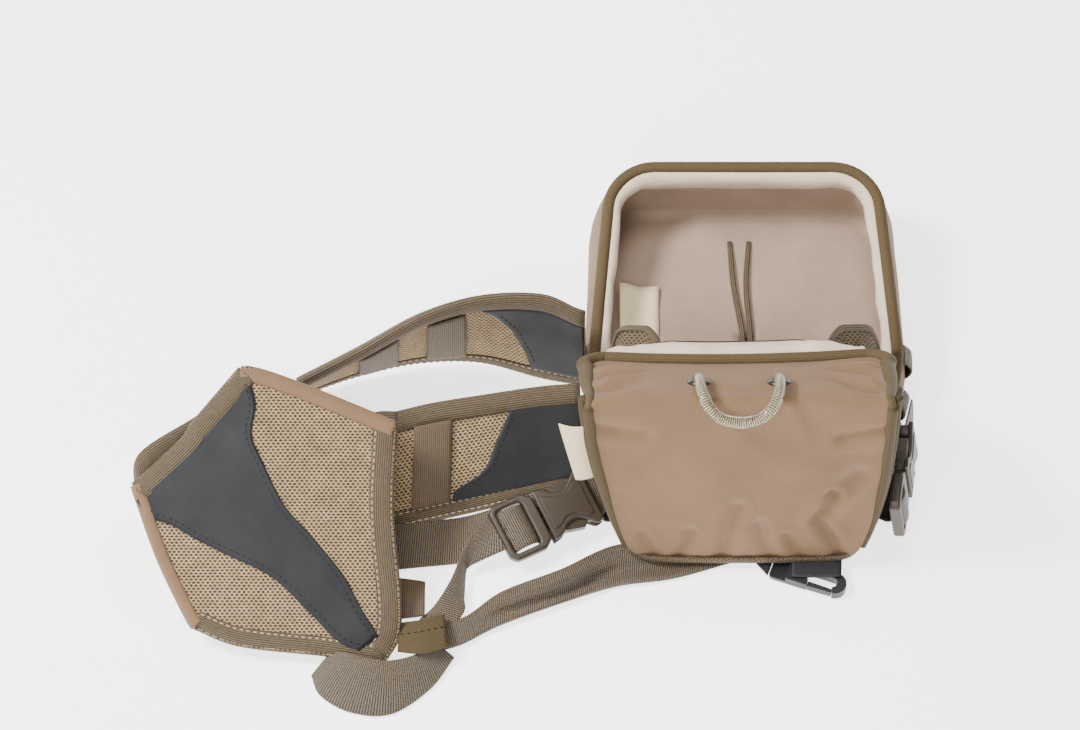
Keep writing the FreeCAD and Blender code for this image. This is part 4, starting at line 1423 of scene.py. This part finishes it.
PANEL_BOTTOM = [(-290, 14), (-266, 5), (-222, 0), (-196, -4), (-190, -2)]
PANEL_LEFT = [(-290, 14), (-294, 20), (-308, 49), (-319, 79), (-322, 88)]
PANEL_NECK = [(-322, 88), (-313, 96), (-296, 112), (-289, 122), (-266, 149)]
PANEL_TOP = [(-266, 149), (-257, 148), (-239, 142), (-209, 130), (-185, 120)]
PANEL_RIGHT = [(-190, -2), (-184, 9), (-183, 29), (-187, 75), (-185, 120)]
PANEL_HALF = 2.2


def panel_rim():
    """The panel's closed outline as (a, b) points."""
    line = []
    for part in (PANEL_BOTTOM, PANEL_RIGHT, PANEL_TOP[::-1], PANEL_NECK[::-1], PANEL_LEFT[::-1]):
        line.extend((p.x, p.y) for p in along_flat(part, 8)[:-1])
    return line


PANEL_RIM = panel_rim()


def yoke_point(a, b, h=0.0):
    """A point of the yoke panel, a across and b up its slope, crowned away from its edges."""
    near = min(segment_distance(a, b, p, q)
               for p, q in zip(PANEL_RIM, PANEL_RIM[1:] + PANEL_RIM[:1]))
    h += 3.4 * smooth(near, 0, 42) + 0.7 * ripple((a, b, 0), 26, 3.0) * smooth(near, 4, 20)
    y0, z0 = PANEL_LOW
    return at(a, y0 + b * math.cos(PANEL_TILT) - h * math.sin(PANEL_TILT),
              z0 + b * math.sin(PANEL_TILT) + h * math.cos(PANEL_TILT))


def panel_edge(line, width, material, inset):
    """A tape folded over one edge of the panel, with its row of stitches."""
    middle = Vector((-245, 62, 0))
    points = along_flat(line, 46)
    edge, inward, flat = [], [], []
    for i, p in enumerate(points):
        into = -right_of(points, i)
        if into.dot(middle - p) < 0:
            into = -into
        edge.append(yoke_point(p.x, p.y))
        flat.append(into)
        inward.append(Vector((into.x, into.y * math.cos(PANEL_TILT),
                              into.y * math.sin(PANEL_TILT))))
    normals = [PANEL_FACE] * len(edge)
    path = [yoke_point(p.x + d.x * inset, p.y + d.y * inset, PANEL_HALF + 0.55)
            for p, d in zip(points, flat)]
    return [edge_tape("edge", edge, inward, normals, material, PANEL_HALF, width),
            stitches("stitch", path, normals, M["thread"])]


def make_yoke():
    """The padded mesh panel, the rubberised strip across it and the tapes round its edges."""
    top = PANEL_NECK + PANEL_TOP[1:]
    panel = coons("yoke_pad", PANEL_BOTTOM, top, PANEL_LEFT, PANEL_RIGHT, 64, 64, M["mesh"],
                  yoke_point)
    panel = thicken(fix_normals(panel), 2 * PANEL_HALF, 0)
    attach(panel, "pack")
    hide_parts("yoke_panel")

    bottom = [(-320, 80), (-314, 72), (-301, 67), (-289, 60), (-273, 52), (-249, 40), (-230, 22),
              (-215, 7), (-204, 2)]
    upper = [(-261, 143), (-258, 130), (-260, 115), (-255, 102), (-243, 78), (-228, 61), (-212, 41),
             (-203, 24), (-194, 10)]
    start = [(-320, 80), (-311, 92), (-295, 107), (-283, 121), (-261, 143)]

    def over(a, b):
        return yoke_point(a, b, PANEL_HALF + 0.45)

    cover = coons("cover", bottom, upper, start, [(-204, 2), (-199, 6), (-194, 10)], 60, 30,
                  M["rubber"], over)
    cover = thicken(fix_normals(cover), 0.9, 0)
    parts = [cover]
    for line, sign in ((bottom, 1), (upper, -1)):
        points = along_flat(line, 70)
        path = []
        for i, p in enumerate(points):
            into = right_of(points, i) * -sign
            path.append(yoke_point(p.x + into.x * 3, p.y + into.y * 3, PANEL_HALF + 0.95))
        parts.append(stitches("seam", path, [PANEL_FACE] * len(path), M["dark_thread"]))
    rubber = join("yoke_rubber", parts)
    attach(rubber, "pack")
    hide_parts("yoke_overlay")

    parts = []
    for line, width, material, inset in (
            (PANEL_NECK, 10, "tape", 8.6), (PANEL_TOP, 6.5, "tan", 5.4),
            (PANEL_LEFT, 5, "tan", 3.4), (PANEL_BOTTOM, 9.5, "tape", 8.0),
            (PANEL_RIGHT, 12, "tape", 10.4)):
        parts += panel_edge(line, width, M[material], inset)
    tapes = join("yoke_tapes", parts)
    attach(tapes, "pack")
    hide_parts("yoke_binding")


# ---------------------------------------------------------------- webbing

def buckle_turn(heading, tilt):
    """A buckle's turn: tilted about its length, then headed about the upright, in degrees."""
    return (Matrix.Rotation(math.radians(heading), 3, "Z")
            @ Matrix.Rotation(math.radians(tilt), 3, "X"))


# each buckle's turn and the middle of its body
BUCKLES = {"left": (buckle_turn(28, 16), Vector((-107.5, -109.8, 13.6))),
           "right": (buckle_turn(82, 82), Vector((81, -93, 23.5)))}


def local(side, x, y, z=0.0):
    """A place in a buckle's own frame, in mm."""
    turn, origin = BUCKLES[side]
    return origin + turn @ Vector((x, y, z))


def web(name, stations, node, material="webbing", slot="webbing", thickness=WEBBING, dent=None):
    """A flat webbing through stations, in place of one CAD node."""
    piece = Band(stations, dent).solid(name, M[material], thickness, step=2.0, across=10)
    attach(piece, "pack")
    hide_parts(node)
    return piece


def follow(piece):
    """Gives the webbing a mesh of its own."""
    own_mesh(piece)


def make_webbing():
    """The waist webbings, the folded tail, the tip's loop and sleeve, and the buckles' ends."""
    left = web("left_web", [((-129, -126, 6), (-133, -103, 12)), ((-150, -131, 2), (-150, -106, 8)),
                            ((-172, -134, 2), (-170, -109, 8)), ((-190, -136, 2), (-188, -111, 8))],
               "web_left")
    follow(left)
    branch = web("branch_web",
                 [((-125, -128, 12.5), (-131, -106, 19)), ((-146, -136, 7), (-138, -113.5, 16.5)),
                  ((-149, -140, 4.5), (-146.5, -121, 14.5)), ((-149.4, -145, 4), (-151, -131, 12)),
                  ((-149.6, -155, 5), (-157, -147, 10.5)), ((-150, -165, 6.2), (-165.5, -162, 9.2)),
                  ((-163, -183, 6.5), (-173, -170, 9))], "web_branch")
    follow(branch)

    def fold(s, t):
        """Two soft lengthwise ridges in the webbing's middle stretch."""
        ridge = 5.6 * hump(t, 0.7, 0.14) + 3.4 * hump(t, 0.1, 0.1)
        return -ridge * smooth(s, 2.2, 3.6) * (1 - smooth(s, 5.8, 6.8))
    right = web("right_web",
                [((60, -116, 1), (52, -94, 1)), ((40, -121, 1), (34, -97, 1)),
                 ((0, -128, 1), (-2, -103, 1)), ((-40, -141, 1), (-36, -117, 1.4)),
                 ((-70, -146, 1), (-70, -122, 5.4)), ((-100, -156, 1), (-99, -141, 12)),
                 ((-132, -170, 1), (-130, -153, 9)), ((-152, -183, 3.5), (-149, -167, 7)),
                 ((-171, -191, 8), (-168, -175, 8.6))],
                "web_right", dent=fold)
    follow(right)
    web("tail_web", [((-170, -169, 10.5), (-188, -171, 9.5)), ((-170, -158, 12), (-188, -158, 13)),
                     ((-170, -148, 10), (-187, -146, 11))], "web_tail", "loop")
    web("loop_web", [((-229, -200, 1), (-218, -188, 7)), ((-224, -212, 1), (-209, -193, 13)),
                     ((-208, -222, 1), (-199, -197, 15)), ((-187, -223, 1), (-187, -198, 14)),
                     ((-167, -208, 1), (-173, -192, 11.5)), ((-154.5, -190, 3), (-166, -183, 9.5))],
        "tip_loop")
    band = Band([((-184, -192, 12), (-183, -174, 12)), ((-172, -194, 13.6), (-171, -173, 13.6)),
                 ((-158, -189, 12), (-160, -169, 12))])
    seam = band.stitch_line("seam", M["dark_thread"], 1.2, True, 1, 8.0)
    cover = band.solid("cover", M["piping"], 2.2, step=2.0, across=10, power=0.7)
    piece = join("web_cover", [cover, seam])
    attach(piece, "pack")
    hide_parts("web_sleeve")
    for side in ("left", "right"):
        wrap = Band([(local(side, x, -11.6, z), local(side, x, 11.6, z))
                     for x, z in ((-23.4, -2.4), (-22.4, 0.6), (-18.5, 3.4), (-13.5, 3.6),
                                  (-9.9, 1.0), (-8.8, -2.4))])
        patch = wrap.solid("plug_web_" + side, M["webbing"], 1.5, step=1.0, across=10)
        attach(patch, "buckle_" + side + "_plug")
    for side, ends in (("left", [((-72, -99, 6.2), (-76, -80, 14)),
                                 ((-68, -96, 5.8), (-70, -78, 6.4))]),
                       ("right", [((89, -46, 8), (87.5, -46, 30))])):
        held = [(local(side, x, -12), local(side, x, 12)) for x in (22, 27.2)]
        web(side + "_stub", held + ends, "stub_" + side)
    web("hook_strap", [((-8, -100, 2.6), (6, -94, 2.6)), ((-1, -124, 2.6), (12, -119, 2.6)),
                       ((9.6, -139.1, 2), (13.4, -128.7, 2))], "hook_web", "black_web",
        "black_webbing", 2.0)


# ---------------------------------------------------------------- hard parts

def plate(name, outlines, low, high, bevel, material, place, resolution=3):
    """A flat plate with holes and rounded edges: outlines of (x, y), placed by place(x, y, z)."""
    curve = bpy.data.curves.new(name, "CURVE")
    curve.dimensions = "2D"
    curve.fill_mode = "BOTH"
    curve.extrude = (high - low) / 2 - bevel
    curve.bevel_depth = bevel
    curve.bevel_resolution = resolution
    curve.offset = -bevel
    for outline in outlines:
        points = curve.splines.new("POLY")
        points.points.add(len(outline) - 1)
        for point, (x, y) in zip(points.points, outline):
            point.co = (x, y, 0, 1)
        points.use_cyclic_u = True
    obj = bpy.data.objects.new(name, curve)
    bpy.context.scene.collection.objects.link(obj)
    graph = bpy.context.evaluated_depsgraph_get()
    mesh = bpy.data.meshes.new_from_object(obj.evaluated_get(graph))
    bpy.data.objects.remove(obj)
    middle = (low + high) / 2
    for vertex in mesh.vertices:
        x, y, z = vertex.co
        vertex.co = place(x, y, z + middle) * MM
    mesh.materials.clear()
    mesh.materials.append(material)
    mesh.polygons.foreach_set("use_smooth", [True] * len(mesh.polygons))
    mesh.set_sharp_from_angle(angle=math.radians(35))
    result = bpy.data.objects.new(name, mesh)
    bpy.context.scene.collection.objects.link(result)
    return result


def rounded(points, radius, per_arc=5):
    """An outline with every corner rounded to a radius."""
    outline = rounded_outline(points, [radius] * len(points), per_arc, 2)
    return [(p.x, p.y) for p in outline]


def make_wings():
    """The flat rubberised tabs that stand out at the tray's lower corners."""
    def place(x, y, z):
        return Vector((x, y, z))

    corners = [(56, -48), (84, -58), (90, -76), (76, -108), (61, -100)]
    for side, sign in (("left", -1), ("right", 1)):
        outline = rounded([(sign * x, y) for x, y in corners], 4)
        wing = plate("wing_cloth_" + side, [outline], 2.6, 4.6, 0.7, M["rubber"], place)
        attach(wing, "pack")
        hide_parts("wing_" + side)


def make_buckles():
    """Side-release buckles: a waisted socket with open sides, and a ring that holds the webbing."""
    waist = [(-1.5, 14.8), (4, 13.4), (9, 9.4), (15, 9.0), (20, 12.6), (23.5, 15.4), (27.6, 14.6)]
    half = [(p.x, p.y) for p in along_flat(waist, 22)]
    hourglass = half + [(x, -y) for x, y in reversed(half)]
    block = rounded([(19.5, -12.6), (27.6, -12.6), (27.6, 12.6), (19.5, 12.6)], 2.2)
    crown = [(2.5 + 0.82 * (x - 1), y * 0.66) for x, y in hourglass]
    ring = rounded([(-27.2, -13), (-24, -16.4), (-7, -16.4), (-1.8, -12.4), (-1.8, 12.4),
                    (-7, 16.4), (-24, 16.4), (-27.2, 13)], 3.2)
    slot = rounded([(-23.6, -12.6), (-8.6, -12.6), (-8.6, 12.6), (-23.6, 12.6)], 2.2)
    for side in ("left", "right"):
        def place(x, y, z, side=side):
            return local(side, x, y, z)
        parts = [plate("socket", [outline], low, high, bevel, M["plastic"], place)
                 for outline, low, high, bevel in ((hourglass, 1.9, 4.6, 1.1),
                                                   (hourglass, -4.6, -1.9, 1.1),
                                                   (crown, 3.6, 5.2, 0.7), (block, -4.2, 4.2, 1.4))]
        socket = join("socket_" + side, parts)
        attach(socket, "pack")
        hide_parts("buckle_" + side + "_female")
        plug = plate("plug_" + side, [ring, slot], -3.0, 3.0, 1.5, M["plastic"], place, 4)
        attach(plug, "buckle_" + side + "_plug")
        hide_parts("buckle_" + side + "_male")


def paint_hard_parts():
    """Hard parts keep their CAD shape and take a moulded finish."""
    for name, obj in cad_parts.items():
        if obj.hide_render:
            continue
        material = M["black"] if name.startswith("hook") else M["plastic"]
        for slot in obj.material_slots:
            slot.material = material


# ---------------------------------------------------------------- studio

def make_studio():
    """The white floor, the world, three soft lamps and a long lens 56 degrees above the floor."""
    floor = grid("floor", [[at(x, y, -0.2) for x in range(-3000, 3001, 1500)]
                           for y in range(-3000, 3001, 1500)], M["floor"])
    world = bpy.data.worlds.new("studio")
    world.use_nodes = True
    background = world.node_tree.nodes["Background"]
    background.inputs["Color"].default_value = (0.96, 0.98, 1.0, 1)
    background.inputs["Strength"].default_value = 0.3
    bpy.context.scene.world = world
    target = Vector((-0.08, -0.03, 0.03))
    for name, place, size, power in (("key", (-1.2, 0.0, 1.5), 0.5, 58),
                                     ("top", (0.1, 0.5, 1.9), 1.0, 20),
                                     ("front", (-0.5, -1.4, 1.4), 0.9, 27)):
        light = bpy.data.lights.new(name, "AREA")
        light.shape = "DISK"
        light.size = size
        light.energy = power
        lamp = bpy.data.objects.new(name, light)
        lamp.location = place
        lamp.rotation_euler = (target - Vector(place)).to_track_quat("-Z", "Y").to_euler()
        bpy.context.scene.collection.objects.link(lamp)
    lens = bpy.data.cameras.new("camera")
    lens.sensor_width = 36
    lens.lens = 185.2
    lens.clip_end = 20
    camera = bpy.data.objects.new("camera", lens)
    camera.location = (-0.110, -1.6816, 2.4871)
    camera.rotation_euler = (math.radians(34), 0, 0)
    bpy.context.scene.collection.objects.link(camera)
    bpy.context.scene.camera = camera


make_studio()
make_tray()
make_back()
make_side_loops()
make_cover()
make_front_walls()
make_front_trim()
make_lid_trim()
make_pull()
make_gussets()
make_straps()
make_yoke()
make_webbing()
make_wings()
make_buckles()
paint_hard_parts()
